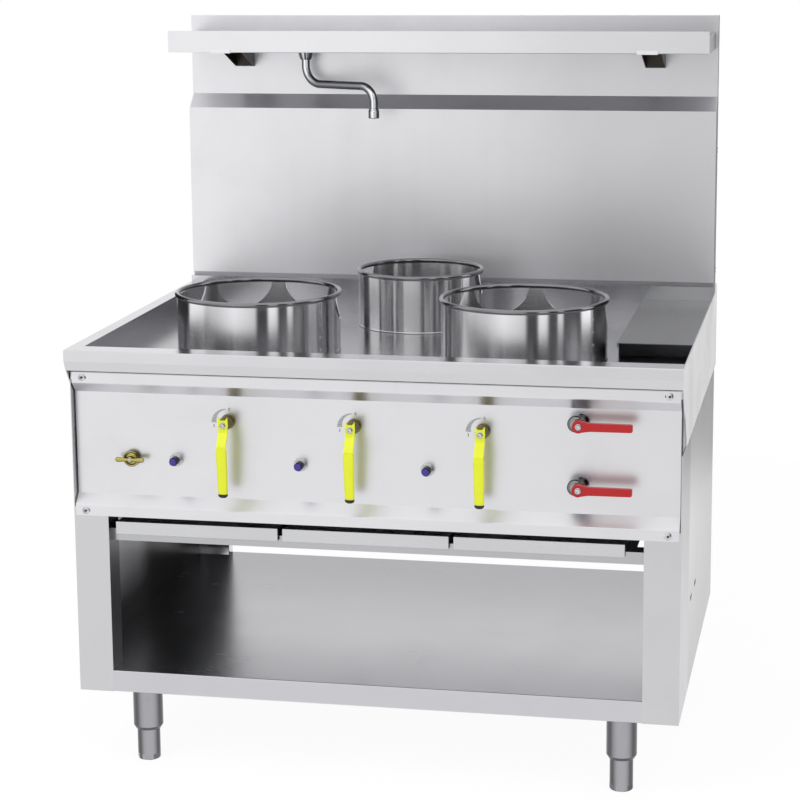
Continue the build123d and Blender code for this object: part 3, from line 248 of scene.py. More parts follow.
def brushed(name, colour, rough, along="x", streak=0.10, depth=0.12, cloud=0.05, lines=0.10,
            inner=None, shade_colour=None, painted_falloff=None, falloff_share=1.0, **fixed):
    """Brushed sheet: long fine lines along one axis, broad faint streaks, slight handling marks.
    streak, cloud and lines are how far they change the colour, the marked places and the
    roughness. Where painted_falloff(recipe) is 1, the colour is down to its share falloff_share:
    painted light falling off. Where inner(recipe) is 1, the colour is shade_colour: painted shade
    where the sheet is out of the light, or a painted darker reflection."""
    def build(r):
        fine = r.noise(6.0, GRAIN[along])
        wide = r.noise(0.35, GRAIN[along], detail=2.0, rough=0.5)
        marks = r.noise(5.0, warp=0.6)
        shade = fine * 0.4 + wide * 0.6
        base = r.mix((shade - 0.5) * streak * 4 + 0.5, times(colour, 1 - streak), times(colour, 1 + streak))
        base = r.mix(marks.between(0.45, 0.8) * cloud * 4, base, times(colour, 0.8))
        # painted light falling off across the sheet
        if painted_falloff:
            base = r.mix(painted_falloff(r), base, times(colour, falloff_share))
        # painted shade, or a painted darker reflection
        if inner:
            base = r.mix(inner(r), base, shade_colour)
        roughness = (fine - 0.5) * lines + marks * 0.08 + (rough - 0.04)
        return base, roughness, r.bump(fine, depth, 0.0004)
    return finish_named(name, build, **fixed)


def polished(name, colour, rough, spots=0.04, edge=0.0, reach=0.40):
    """Plated or polished metal with a few water marks and hairlines. Its colour darkens by edge
    towards the outline, a painted dark reflection standing for the dark parts of a room in a
    round polished piece, and is darkest from reach on."""
    def build(r):
        marks = r.noise(22.0, detail=5.0, rough=0.65, warp=0.8)
        hair = r.noise(14.0, (60.0, 60.0, 2.0), detail=3.0, rough=0.55)
        base = r.mix(marks.between(0.5, 0.75) * spots * 6, colour, times(colour, 0.78))
        if edge:
            # painted reflection: darker towards the outline as the camera sees it
            turned = r.add("LayerWeight", "Facing", {"Blend": 0.5}).between(reach * 0.15, reach)
            base = r.mix(turned * edge, base, times(colour, 0.04))
        return base, marks * 0.10 + hair * 0.04 + (rough - 0.06), r.bump(hair, 0.05, 0.0003)
    return finish_named(name, build)


def moulded(name, colour, rough, depth=0.25, wear=0.15):
    """Moulded plastic, dipped sleeve or print: fine orange skin, slightly greyed where it is handled."""
    def build(r):
        skin = r.noise(900.0, detail=2.0, rough=0.5)
        marks = r.noise(45.0, warp=0.5)
        base = r.mix(marks.between(0.45, 0.75) * wear, colour, tuple(c * 0.72 + 0.01 for c in colour))
        return base, marks * 0.16 + (rough - 0.08), r.bump(skin, depth, 0.0003)
    return finish_named(name, build, metal=0.0)


def sand_cast(name, colour, rough):
    """Cast iron: rough sand-cast skin, browned by heat."""
    def build(r):
        sand = r.noise(260.0, detail=6.0, rough=0.7)
        burnt = r.noise(26.0, warp=0.4)
        base = r.mix(burnt.between(0.4, 0.7), colour, (0.055, 0.036, 0.024))
        return base, sand * 0.2 + (rough - 0.1), r.bump(sand, 0.5, 0.0008)
    return finish_named(name, build, metal=0.5)


# ---- finishes of the CAD pieces
SLOT_FINISH = {}
RIM_ROD = 0.0100  # height of the rod round a wok ring's rim
# the slope across the splash wall, darkened as a painted reflection of the wall shelf's shaded underside:
# its foot and head below the wall's top, and its rear edge in front of the wall's back
SLOPE_FOOT, SLOPE_HEAD, SLOPE_BACK = 0.206, 0.176, 0.0265
# where the painted light falls off: from this x to the wall's right edge, between these y on the bottom
# shelf, and from this far over the panel's foot down to this height on the side panels
WALL_LIT, SHELF_LIT, SHELF_DARK, SIDE_LIT, SIDE_DARK = -0.10, -0.35, 0.45, 0.15, 0.15


class WOK_OT_finishes(bpy.types.Operator):
    """Gives every CAD piece its procedural finish"""
    bl_idname = "wok_range.finishes"
    bl_label = "Finishes"

    def execute(self, context):
        f = context.scene.wok_range_finishes
        b = f.brushing
        # each edge of a mask lies just inside the sheet that it is read from
        inner_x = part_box("side_panel_right")[1].x - 0.0008
        behind_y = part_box("front_frame")[0].y + 0.002
        under_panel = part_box("control_panel")[0].z
        tab_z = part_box("wall_shelf")[0].z - 0.0025
        front_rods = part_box("wok_ring_left")[1].z - RIM_ROD
        back_low, back_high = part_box("wok_ring_back")
        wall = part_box("backsplash")[1]

        # painted shade: where the side sheets and front posts face into the shaded bay under the panel
        def inside(r):
            return (abs(r.axis("X")) < inner_x) * (r.axis("Y") > behind_y) * (r.axis("Z") < under_panel)

        # painted reflection: the slope darkens where it mirrors the shaded underside of the wall shelf
        def on_slope(r):
            z = r.axis("Z")
            return ((z > wall.z - SLOPE_FOOT) * (z < wall.z - SLOPE_HEAD)
                    * (r.axis("Y") < wall.y - SLOPE_BACK) * (abs(r.axis("X")) < wall.x - 0.002))

        # painted reflection: where the rim rods take the darker rod colour
        def on_rods(r):
            z, back = r.axis("Z"), r.axis("Y") > back_low.y
            return back * (z > back_high.z - RIM_ROD) + (1.0 - back) * (z > front_rods)

        def along(axis, lit, dark):
            return lambda r: r.axis(axis).between(lit, dark)

        SLOT_FINISH.update({
            "stainless": brushed("hob_steel", f.hob, 0.20, "x", b * 0.8),
            "cover_steel": brushed("cover_steel", f.cover, 0.30, "y", b),
            # splash wall: painted reflection on its slope, and painted light falling off towards its right
            # edge
            "wall_steel": brushed("wall_steel", f.wall, 0.40, "z", b * 0.9, inner=on_slope,
                                  shade_colour=times(f.wall, 0.74), painted_falloff=along("X", WALL_LIT, wall.x),
                                  falloff_share=0.84),
            "bracket_steel": brushed("bracket_steel", f.wall, 0.34, "z", b, shade_colour=f.shade,
                                     inner=lambda r: r.axis("Z") < tab_z),
            "panel_steel": brushed("panel_steel", f.panel, 0.33, "x", b * 0.3, 0.03),
            # side sheets: painted shade inside the bay, and painted light falling off towards their foot
            "side_steel": brushed("side_steel", f.side, 0.34, "z", b * 0.5, inner=inside, shade_colour=f.mill,
                                  painted_falloff=along("Z", under_panel + SIDE_LIT, SIDE_DARK), falloff_share=0.58),
            # bottom shelf: painted light falling off towards the back
            "shelf_steel": brushed("shelf_steel", f.shelf, 0.26, "x", b * 0.3, 0.01, 0.03, 0.03,
                                   painted_falloff=along("Y", SHELF_LIT, SHELF_DARK), falloff_share=0.58),
            "tray_steel": brushed("tray_steel", f.tray, 0.28, "x", b * 0.5, 0.04),
            "ring_steel": brushed("ring_steel", f.ring, 0.18, "round", b * 0.25, 0.0, 0.02, 0.04,
                                  inner=on_rods, shade_colour=f.rod,
                                  **{"Anisotropic": 1.0, "Anisotropic Rotation": 0.25}),
            "leg_steel": polished("leg_steel", f.leg, 0.20, 0.06, edge=0.75),
            "screw_steel": polished("screw_steel", f.plating, 0.20, 0.10, edge=0.8),
            "pipe_steel": brushed("pipe_steel", f.leg, 0.30, "x", b),
            "chrome": polished("chrome", times(f.plating, 1.5), 0.05, edge=0.95, reach=0.30),
            "valve_chrome": polished("valve_chrome", times(f.plating, 0.45), 0.06, edge=0.9),
            "tap_brass": polished("tap_brass", f.brass, 0.16, 0.06, edge=0.85),
            "valve_brass": polished("valve_brass", times(f.brass, 0.45), 0.26, 0.10),
            "yellow_grip": moulded("grip_yellow", f.grip, 0.34),
            "lever_steel": moulded("lever_strip_yellow", f.grip, 0.30, 0.15),
            "black_plastic": moulded("black_plastic", f.rubber, 0.40),
            "blue_button": moulded("button_blue", f.button, 0.28, 0.1),
            "red_lever": moulded("lever_red", f.lever, 0.30, 0.15),
            "cast_iron": sand_cast("cast_iron", f.iron, 0.62)})
        SLOT_FINISH.update(foot_steel=SLOT_FINISH["leg_steel"], pipe_chrome=SLOT_FINISH["chrome"])
        own = {"hob_floor": brushed("floor_steel", times(f.hob, 0.70), 0.20, "x", b * 0.8),
               # a darker copy of the tray steel: painted shade under the trays
               "tray_frame": brushed("rail_steel", times(f.tray, 0.78), 0.24, "x", b),
               # wall shelf: painted light falling off towards its right end
               "wall_shelf": brushed("wall_shelf_steel", f.lip, 0.30, "x", b,
                                     painted_falloff=along("X", WALL_LIT, wall.x), falloff_share=0.88),
               # front posts: painted shade where they face into the bay
               "front_frame": brushed("post_steel", f.post, 0.32, "z", b * 0.6, inner=inside,
                                      shade_colour=times(f.mill, 2.2)),
               "igniter_barrels": SLOT_FINISH["black_plastic"]}
        for name, node in nodes.items():
            for place in node.material_slots:
                slot = place.material.name.split(".")[0] if place.material else ""
                if name not in own and slot not in SLOT_FINISH:
                    raise RuntimeError(f"{name} has no finish for its slot {slot!r}")
                place.material = own.get(name) or SLOT_FINISH[slot]
        return {"FINISHED"}


# ---- meshes of the fine pieces
FRONT, BACK, DOWN = (0, -1, 0), (0, 1, 0), (0, 0, -1)
SMOOTH = radians(35)  # edges that turn further than this are drawn sharp
FOLD = radians(40)  # and further than this are bevelled


def profile(*numbers):
    """Pairs of radius and distance along the axis, in metres, from millimetres."""
    return [(radius / 1000, far / 1000) for radius, far in zip(numbers[::2], numbers[1::2])]


LEVER_BOLT = profile(6.2, 0, 6.2, 0.8, 5.6, 1.2, 4.6, 1.2)
LEVER_STUD = profile(3.8, 0, 3.8, 20)
VALVE_FOOT = profile(14.2, 0, 14.2, 6, 13.4, 7.2, 12.6, 7.4)
VALVE_HUB = profile(12.6, 7.4, 12.6, 12, 13.1, 13, 13.1, 24, 12.5, 25, 11.8, 27, 11.8, 34.5, 10.8, 37.2)
VALVE_NECK = profile(11.9, 0, 11.9, 6)
BEZEL = profile(13.4, 0, 13.4, 5, 12.8, 6.2, 11.4, 6.6, 10.8, 7.8, 10.8, 11.2, 10, 12.2, 8.6, 12.2,
                8.6, 0)
BARREL_LIP = profile(7.5, 0, 8.3, 0, 8.5, 0.6, 8.1, 1.2, 7.6, 1.2)
TAP_ROSETTE = profile(15, 0, 15, 6, 16, 7, 16.3, 9.2, 15.6, 10.6, 14.2, 11.2, 12.8, 10.8, 12.1, 9.8,
                      11.2, 10.8, 9.4, 11.8, 7.4, 12.4)
TAP_BOSS = profile(6.4, 0, 6.4, 5.2, 5.8, 6.6, 4.6, 7.4)
TAP_STEM = profile(3, 0, 3, 22)
ARM_SCREW = profile(6.2, 0, 6.2, 0.8, 5.6, 1.4, 4.4, 1.4)
WATER_COLLAR = profile(15, 0, 15, 15, 15.8, 17, 16, 27, 15.2, 30, 13.4, 31.8, 11.2, 32.4, 10.6, 31.6,
                       6, 32.2)
SWIVEL_NUT = profile(20.5, 0, 20.5, 3, 19, 5.2)
SWIVEL_NECK = profile(18.6, 4, 15, 15, 12.4, 23.5, 11.8, 24.6, 10, 24.6)
WELD_DOT = profile(2.8, 0, 2.6, 0.4, 1.4, 0.8)
# the distance here is back from the button's tip
BUTTON_TIP = profile(6.9, 8.6, 7.2, 8, 7.2, 1.8, 6.6, 0.7, 5.6, 0.2, 5.4, 0.6, 3, 0.6, 0.8, 0.4)
# shares of the nozzle's radius, at distances from its head and back from its mouth
NOZZLE_HEAD = ((0.78, 0.0), (0.86, 0.0006), (0.92, 0.0030), (0.90, 0.0042), (0.98, 0.0056), (1, 0.0066))
NOZZLE_MOUTH = ((1, 0.0022), (0.95, 0.0004), (0.84, 0), (0.72, 0), (0.70, 0.0010), (0.70, 0.0080))
# section of a wok ring's hemmed foot, out from the band and up
RING_HEM = profile(-0.6, 0, 0.6, 0.1, 1.1, 0.7, 1.1, 2, 0.6, 2.7, -0.6, 2.8)


def middle(node):
    low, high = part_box(node)
    return (low + high) / 2


def steps(count):
    """How far along each of the count + 1 stations of a row is, from 0 to 1."""
    return [k / count for k in range(count + 1)]


def linked(name, data):
    """A new object in the scene."""
    item = bpy.data.objects.new(name, data)
    bpy.context.scene.collection.objects.link(item)
    return item


class Form:
    """A mesh under construction, in metres and already in its place."""

    def __init__(self):
        self.bm = bmesh.new()

    def skin(self, loops, closed=False):
        """Joins a row of equal loops of points, and closes the two ends or the row."""
        rows = [[self.bm.verts.new(point) for point in loop] for loop in loops]
        pairs = list(zip(rows, rows[1:])) + ([(rows[-1], rows[0])] if closed else [])
        for low, high in pairs:
            for i in range(len(low)):
                j = (i + 1) % len(low)
                self.bm.faces.new((low[i], low[j], high[j], high[i]))
        if not closed:
            for row in (rows[0], rows[-1]):
                self.bm.faces.new(row)
        return self

    def turned(self, at, along, profile, sides=48, knurl=0.0, closed=False):
        """Turns a profile round the line from at; knurl draws in each second rib."""
        at, along = Vector(at), Vector(along).normalized()
        side = Vector((0, 0, 1)) if abs(along.z) < 0.5 else Vector((1, 0, 0))
        other = along.cross(side)
        loops = [[at + along * far + (side * cos(2 * pi * i / sides) + other * sin(2 * pi * i / sides))
                  * radius * (1 - knurl * (i // 2 % 2)) for i in range(sides)]
                 for radius, far in profile]
        return self.skin(loops, closed)

    def slab(self, outline, near, far):
        """A flat piece whose outline lies across the range, as pairs of x and z."""
        return self.skin([[Vector((x, y, z)) for x, z in outline] for y in (near, far)])

    def soften(self, width, segments=3):
        sharp = [e for e in self.bm.edges
                 if len(e.link_faces) == 2 and e.calc_face_angle(0) > FOLD]
        bmesh.ops.bevel(self.bm, geom=sharp, offset=width, segments=segments, profile=0.5,
                        affect="EDGES", clamp_overlap=True)
        return self

    def piece(self, name, slot, body, *stands_for, material=None):
        bmesh.ops.remove_doubles(self.bm, verts=self.bm.verts, dist=1e-6)
        bmesh.ops.recalc_face_normals(self.bm, faces=self.bm.faces)
        mesh = bpy.data.meshes.new(name)
        self.bm.to_mesh(mesh)
        self.bm.free()
        place_piece(name, mesh, slot, body, *stands_for, material=material)


def place_piece(name, mesh, slot, body, *stands_for, material=None):
    """Puts a finished mesh into the scene on its body, with its own material or its slot's."""
    mesh.shade_smooth()
    mesh.set_sharp_from_angle(angle=SMOOTH)
    if not mesh.materials:
        mesh.materials.append(material or SLOT_FINISH[slot])
    piece = linked(name, mesh)
    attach(piece, body)
    if stands_for:
        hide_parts(*stands_for)


def oval(at, width, thick):
    """A rounded section across the upright, between an ellipse and a box."""
    points, power = 32, 2 / 2.6
    loop = []
    for k in range(points):
        c, s = cos(2 * pi * k / points), sin(2 * pi * k / points)
        loop.append(at + Vector((copysign(abs(c) ** power, c) * width / 2,
                                 copysign(abs(s) ** power, s) * thick / 2, 0)))
    return loop


def socket_screw(form, at, along, head, height, socket, sides=36):
    """Cap head with a rounded rim and a six-sided socket, standing on at."""
    form.turned(at, along, ((head, 0), (head, height * 0.8), (head * 0.9, height),
                            (socket * 1.12, height), (socket, height * 0.97),
                            (socket, height * 0.45)), sides)


class WOK_OT_gas_levers(bpy.types.Operator):
    """Sleeves, ends, bolts and valve collars of the three gas levers"""
    bl_idname = "wok_range.gas_levers"
    bl_label = "Gas levers"

    sleeve_wide, sleeve_taper, half_thick = 0.022, 0.0033, 0.005
    rounded, drawn_in = 0.002, 0.14  # how far the sleeve's ends are rounded, and how much
    sleeve_steps, end_steps, end_from, end_drawn_in = 24, 8, 0.35, 1.15
    bolt_in, valve_deep = 0.005, 0.060

    def sleeve(self, low, high):
        x, drop, half = (low.x + high.x) / 2, high.z - low.z, self.half_thick
        for t in steps(self.sleeve_steps):
            edge = min(t, 1 - t) * drop / self.rounded
            size = 1 - self.drawn_in * max(0.0, 1 - edge) ** 2
            at = Vector((x, low.y + half + (high.y - low.y - 2 * half) * t, high.z - drop * t))
            yield oval(at, (self.sleeve_wide - self.sleeve_taper * t) * size, 2 * half * size)

    def sleeve_end(self, low, high):
        at = (low + high) / 2
        for t in steps(self.end_steps):
            size = 1 - max(0.0, t - self.end_from) ** 2 * self.end_drawn_in
            yield oval(Vector((at.x, at.y, high.z - (high.z - low.z) * t)),
                       (high.x - low.x) * size, (high.y - low.y) * size)

    def execute(self, context):
        p = context.scene.wok_range_pieces
        panel_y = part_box("igniter_bezels")[1].y
        for i in (1, 2, 3):
            body = f"gas_lever_{i}"
            Form().skin(list(self.sleeve(*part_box(f"gas_lever_grip_{i}")))).piece(
                f"sleeve_{i}", "yellow_grip", body, f"gas_lever_grip_{i}")
            Form().skin(list(self.sleeve_end(*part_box(f"gas_lever_cap_{i}")))).piece(
                f"sleeve_end_{i}", "black_plastic", body, f"gas_lever_cap_{i}")

            low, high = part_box(f"gas_lever_bolt_{i}")
            head = Vector(((low.x + high.x) / 2, low.y + self.bolt_in, (low.z + high.z) / 2))
            form = Form()
            form.turned(head, FRONT, LEVER_BOLT, 40)
            socket_screw(form, head + Vector((0, -LEVER_BOLT[-1][1], 0)), FRONT, 0.0045, 0.0034, 0.0025)
            form.turned(head, BACK, LEVER_STUD, 24)
            form.piece(f"lever_bolt_{i}", "screw_steel", body, f"gas_lever_bolt_{i}")

            base = Vector((head.x, panel_y, head.z))
            hub = Form()
            hub.turned(base, FRONT, VALVE_FOOT)
            hub.turned(base, FRONT, VALVE_HUB, p.hub_ribs * 4, knurl=0.03)
            low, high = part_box("gas_valves")
            half = (high.z - low.z) / 2
            block = Form()
            block.slab([(head.x + a * half, head.z + b * half)
                        for a, b in ((-1, -1), (1, -1), (1, 1), (-1, 1))],
                       high.y - self.valve_deep, high.y).soften(0.003)
            block.turned(base + Vector((0, 0.0025, 0)), FRONT, VALVE_NECK, 40)
            block.piece(f"valve_block_{i}", "valve_brass", "range_body")
            hub.piece(f"valve_collar_{i}", "valve_brass", "range_body",
                      *(["gas_valves"] if i == 1 else []))
        return {"FINISHED"}


class WOK_OT_heat_scales(bpy.types.Operator):
    """Printed heat scale on the panel round each gas lever"""
    bl_idname = "wok_range.heat_scales"
    bl_label = "Heat scales"

    stations, first_tick, ticked, half_tick = 48, 5, 80, 0.5  # along the band, then degrees
    film = 0.0001  # thickness of a coat of ink

    def execute(self, context):
        p, f = context.scene.wok_range_pieces, context.scene.wok_range_finishes
        band, mark, ink = (moulded(name, shade, 0.45, 0.05, 0.10) for name, shade in (
            ("scale_print", f.scale_grey), ("scale_marks", f.scale_mark), ("scale_ink", f.rubber)))
        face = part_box("igniter_bezels")[1].y
        for i in (1, 2, 3):
            at = middle(f"gas_lever_bolt_{i}") + Vector((p.scale_shift, 0, p.scale_drop))

            def spot(turn, radius, proud):
                a = radians(180 - turn)
                return Vector((at.x + cos(a) * radius, face - proud, at.z + sin(a) * radius))

            def edges(turn):
                inner = p.scale_inner + (p.scale_thin - 0.0015 - p.scale_inner) * (turn / 90) ** 0.8
                return inner, p.scale_wide + (p.scale_thin - p.scale_wide) * turn / 90

            loops = []
            for turn in (90 * t for t in steps(self.stations)):
                inner, outer = edges(turn)
                loops.append([spot(turn, radius, proud) for radius, proud in (
                    (inner, 0.0), (outer, 0.0), (outer, 0.00012), (inner, 0.00012))])
            Form().skin(loops).piece(f"heat_scale_{i}", "panel_steel", "range_body", material=band)
            form = Form()
            for k in range(p.scale_ticks):
                turn = self.first_tick + self.ticked * k / max(1, p.scale_ticks - 1)
                inner, outer = edges(turn)
                before, after = turn - self.half_tick, turn + self.half_tick
                form.skin([[spot(before, inner, proud), spot(after, inner, proud),
                            spot(after, outer, proud), spot(before, outer, proud)]
                           for proud in (self.film, 2 * self.film)])
            form.piece(f"scale_ticks_{i}", "panel_steel", "range_body", material=mark)
            for digit, turn, radius in (("3", -15, p.scale_wide - 0.004), ("0", 104, p.scale_thin)):
                figure = bpy.data.curves.new("figure", "FONT")
                figure.body, figure.size, figure.extrude = digit, p.figure_size, self.film
                figure.align_x, figure.align_y = "CENTER", "CENTER"
                carrier = linked("figure", figure)
                mesh = bpy.data.meshes.new_from_object(
                    carrier.evaluated_get(context.evaluated_depsgraph_get()))
                bpy.data.objects.remove(carrier)
                mesh.transform(Matrix.Translation(spot(turn, radius, self.film))
                               @ Matrix.Rotation(pi / 2, 4, "X"))
                mesh.materials.clear()
                mesh.materials.append(ink)
                place_piece(f"figure_{digit}_{i}", mesh, "panel_steel", "range_body")
        return {"FINISHED"}


class WOK_OT_igniters(bpy.types.Operator):
    """Bezels and ribbed buttons of the three igniters"""
    bl_idname = "wok_range.igniters"
    bl_label = "Igniters"

    def execute(self, context):
        p, f = context.scene.wok_range_pieces, context.scene.wok_range_finishes
        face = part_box("igniter_bezels")[1].y
        rings, lips = Form(), Form()
        for i in (1, 2, 3):
            low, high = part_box(f"igniter_button_{i}")
            at = Vector(((low.x + high.x) / 2, face, (low.z + high.z) / 2))
            rings.turned(at, FRONT, BEZEL, 56, closed=True)
            reach = high.y - low.y
            Form().turned((at.x, high.y, at.z), FRONT, (
                (BUTTON_TIP[0][0], 0), *((radius, reach - back) for radius, back in BUTTON_TIP)),
                p.button_ribs * 4, knurl=0.055).piece(
                f"ribbed_button_{i}", "blue_button", f"igniter_button_{i}", f"igniter_button_{i}")
            lips.turned((at.x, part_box("igniter_barrels")[0].y, at.z), FRONT, BARREL_LIP, closed=True)
        rings.piece("bezel_rings", "chrome", "range_body", "igniter_bezels",
                    material=polished("bezel_chrome", f.plating, 0.24))
        lips.piece("barrel_lips", "black_plastic", "range_body")
        return {"FINISHED"}


class WOK_OT_pilot_tap(bpy.types.Operator):
    """Rosette and winged handle of the pilot tap"""
    bl_idname = "wok_range.pilot_tap"
    bl_label = "Pilot tap"

    stations, sides, thin, tall, front, half_deep = 40, 20, 0.0026, 0.0022, 0.0024, 0.0021  # of the wings
    tip = 0.14  # the share of each wing that closes round

    def execute(self, context):
        low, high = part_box("pilot_tap_handle")
        x, z, front = (low.x + high.x) / 2, (low.z + high.z) / 2, low.y
        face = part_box("igniter_bezels")[1].y
        Form().turned((x, face, z), FRONT, TAP_ROSETTE, 64).piece(
            "tap_rosette", "tap_brass", "range_body")
        half, loops = (high.x - low.x) / 2, []
        for t in (2 * t - 1 for t in steps(self.stations)):
            close = max(0.0, (abs(t) - (1 - self.tip)) / self.tip)
            tall = (self.thin + self.tall * min(1.0, abs(t) * 1.4)) * max(0.05, 1 - close ** 2) ** 0.5
            loops.append([Vector((x + t * half, front + self.front + self.half_deep * sin(a),
                                  z + tall * cos(a)))
                          for a in (2 * pi * j / self.sides for j in range(self.sides))])
        form = Form().skin(loops)
        form.turned((x, front + 0.009, z), FRONT, TAP_BOSS, 40)
        form.turned((x, front + 0.030, z), FRONT, TAP_STEM, 24)
        form.piece("tap_wings", "tap_brass", "pilot_tap_handle", "pilot_tap_handle")
        form = Form()
        socket_screw(form, Vector((x, front + 0.0022, z)), FRONT, 0.0034, 0.0020, 0.0016, 28)
        form.piece("tap_screw", "screw_steel", "pilot_tap_handle")
        return {"FINISHED"}


class WOK_OT_water_levers(bpy.types.Operator):
    """Rounded arms, screws and collars of the two water levers"""
    bl_idname = "wok_range.water_levers"
    bl_label = "Water levers"

    thick, shoulder, wide, tip_wide, corner = 0.009, 0.0215, 0.0078, 0.0052, 0.0022  # of an arm
    hub_share, collar_left = 0.86, 0.0075

    def execute(self, context):
        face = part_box("igniter_bezels")[1].y
        for name in ("lower", "upper"):
            body = f"water_lever_{name}"
            low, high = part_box(body)
            radius = (high.z - low.z) / 2
            x, z, tip = low.x + radius, (low.z + high.z) / 2, high.x
            near, hub = low.y, radius * self.hub_share
            outline = [(x + hub * cos(radians(a)), z + hub * sin(radians(a)))
                       for a in range(60, 301, 10)]
            arm = [(x + self.shoulder, self.wide), (tip - self.corner, self.wide - 0.0004),
                   (tip, self.tip_wide)]
            outline += [(at, z - half) for at, half in arm] + [(at, z + half) for at, half in arm[::-1]]
            form = Form().slab(outline, near, near + self.thick).soften(0.0014)
            form.turned((x, near + self.thick - 0.001, z), BACK,
                        ((hub * 0.98, 0), (hub * 0.98, 0.0085), (hub * 0.9, 0.0100)))
            form.piece(f"lever_arm_{name}", "red_lever", body, body)
            form = Form()
            at = Vector((x, near, z))
            form.turned(at, FRONT, ARM_SCREW)
            socket_screw(form, at + Vector((0, -0.0008, 0)), FRONT, 0.0044, 0.0028, 0.0026)
            form.piece(f"lever_screw_{name}", "screw_steel", body, f"water_lever_screw_{name}")
            Form().turned((x - self.collar_left, face, z), FRONT, WATER_COLLAR, 64).piece(
                f"water_collar_{name}", "valve_chrome", "range_body")
        return {"FINISHED"}


class WOK_OT_side_skins(bpy.types.Operator):
    """Inner skins of the two side panels, which close their vent slots from inside; their colour is painted
    light and shade
    """
    bl_idname = "wok_range.side_skins"
    bl_label = "Side skins"

    inset, thick, start, long, over_shelf, under_trays = 0.0018, 0.0008, 0.0615, 0.78, 0.0005, 0.004
    # shares of the painted bay shade colour: painted light at the front's top, painted shade at its bottom
    # and behind, and where they change
    front_light, front_dark, rear_dark, dark_y, bright_z, dark_z = 12.5, 0.4, 0.04, (-0.06, 0.06), 0.42, 0.24

    def execute(self, context):
        f = context.scene.wok_range_finishes

        # painted light and shade: lighter at the front's top, darker low down and towards the back
        def build(r):
            fine = r.noise(6.0, GRAIN["z"])
            base = r.mix(r.axis("Z").between(self.bright_z, self.dark_z), times(f.mill, self.front_light),
                         times(f.mill, self.front_dark))
            base = r.mix(r.axis("Y").between(*self.dark_y), base, times(f.mill, self.rear_dark))
            return base, fine * 0.08 + 0.20, r.bump(fine, 0.03, 0.0003)

        skin = finish_named("skin_steel", build, metal=0.0, **{"Specular IOR Level": 0.1})
        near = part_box("front_frame")[0].y + self.start
        heights = (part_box("base_shelf")[1].z + self.over_shelf,
                   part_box("tray_frame")[0].z - self.under_trays)
        for name, side in (("left", -1), ("right", 1)):
            low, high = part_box(f"side_panel_{name}")
            inner = (low.x if side < 0 else high.x) - side * self.inset
            form = Form()
            form.skin([[Vector((inner, near, z)), Vector((inner - side * self.thick, near, z)),
                        Vector((inner - side * self.thick, near + self.long, z)),
                        Vector((inner, near + self.long, z))] for z in heights])
            form.soften(0.0002, 1)
            form.piece(f"side_skin_{name}", "side_steel", "range_body", material=skin)
        return {"FINISHED"}


class WOK_OT_spout(bpy.types.Operator):
    """Ribbed nozzle, swivel nut and shelf flange of the spout"""
    bl_idname = "wok_range.spout"
    bl_label = "Spout"

    screen_rings, screen_step, screen_wide, screen_bar = 5, 0.13, 0.62, 0.04  # in nozzle radii

    def execute(self, context):
        low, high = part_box("spout_nozzle")
        at = Vector(((low.x + high.x) / 2, (low.y + high.y) / 2, high.z))
        radius, long = (high.x - low.x) / 2, high.z - low.z
        Form().turned(at, DOWN, (*((radius * part, far) for part, far in NOZZLE_HEAD),
                                 *((radius * part, long - back) for part, back in NOZZLE_MOUTH)), 56).piece(
            "nozzle_sleeve", "chrome", "spout", "spout_nozzle")
        form = Form()
        for k in range(self.screen_rings):
            inner = radius * (self.screen_wide - self.screen_step * k)
            outer = radius * (self.screen_wide + self.screen_bar - self.screen_step * k)
            form.turned(at + Vector((0, 0, -long + 0.0014)), DOWN, (
                (inner, 0), (outer, 0), (outer, 0.0004), (inner, 0.0004)), 40, closed=True)
        form.piece("nozzle_screen", "screw_steel", "spout")
        low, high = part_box("faucet_body")
        nut = Vector(((low.x + high.x) / 2, low.y + (high.x - low.x) / 2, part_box("wall_shelf")[0].z))
        form = Form()
        form.turned(nut, DOWN, SWIVEL_NUT, 12)
        form.turned(nut, DOWN, SWIVEL_NECK)
        form.piece("swivel_nut", "chrome", "range_body")
        return {"FINISHED"}


class WOK_OT_wok_rings(bpy.types.Operator):
    """Lap seams with weld dots and hemmed feet of the three wok rings"""
    bl_idname = "wok_range.wok_rings"
    bl_label = "Wok rings"

    seams = (("left", 62), ("right", 62), ("back", 55))  # degrees round from the cook
    seam_half, seam_out, first_dot, last_dot = 2.2, 0.0010, 0.016, 0.020
    outside, under_rod, foot_steps = 0.004, 0.0102, 96  # the band from its rod, steps round the foot

    def execute(self, context):
        p = context.scene.wok_range_pieces
        for side, turn in self.seams:
            name = f"wok_ring_{side}"
            low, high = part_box(name)
            at = Vector(((low.x + high.x) / 2, (low.y + high.y) / 2, low.z))
            radius = (high.x - low.x) / 2 - self.outside
            rise = high.z - low.z - self.under_rod

            def spot(degrees, out, up):
                a = radians(degrees - 90)
                return at + Vector((cos(a) * (radius + out), sin(a) * (radius + out), up))

            Form().skin([[spot(360 * k / self.foot_steps, out, up) for out, up in RING_HEM]
                         for k in range(self.foot_steps)], closed=True).piece(
                f"ring_foot_{side}", "ring_steel", name)
            form = Form()
            form.skin([[spot(turn + step * self.seam_half, out, up) for out, up in (
                (-0.0004, 0.002), (self.seam_out, 0.002), (self.seam_out, rise), (-0.0004, rise))]
                for step in (-1, -0.5, 0, 0.5, 1)])
            for k in range(p.ring_beads):
                up = self.first_dot + (rise - self.first_dot - self.last_dot) * k / max(1, p.ring_beads - 1)
                out = (spot(turn, 1.0, up) - spot(turn, 0.0, up)).normalized()
                form.turned(spot(turn, 0.0008, up), out, WELD_DOT, 16)
            form.piece(f"ring_seam_{side}", "ring_steel", name)
        return {"FINISHED"}


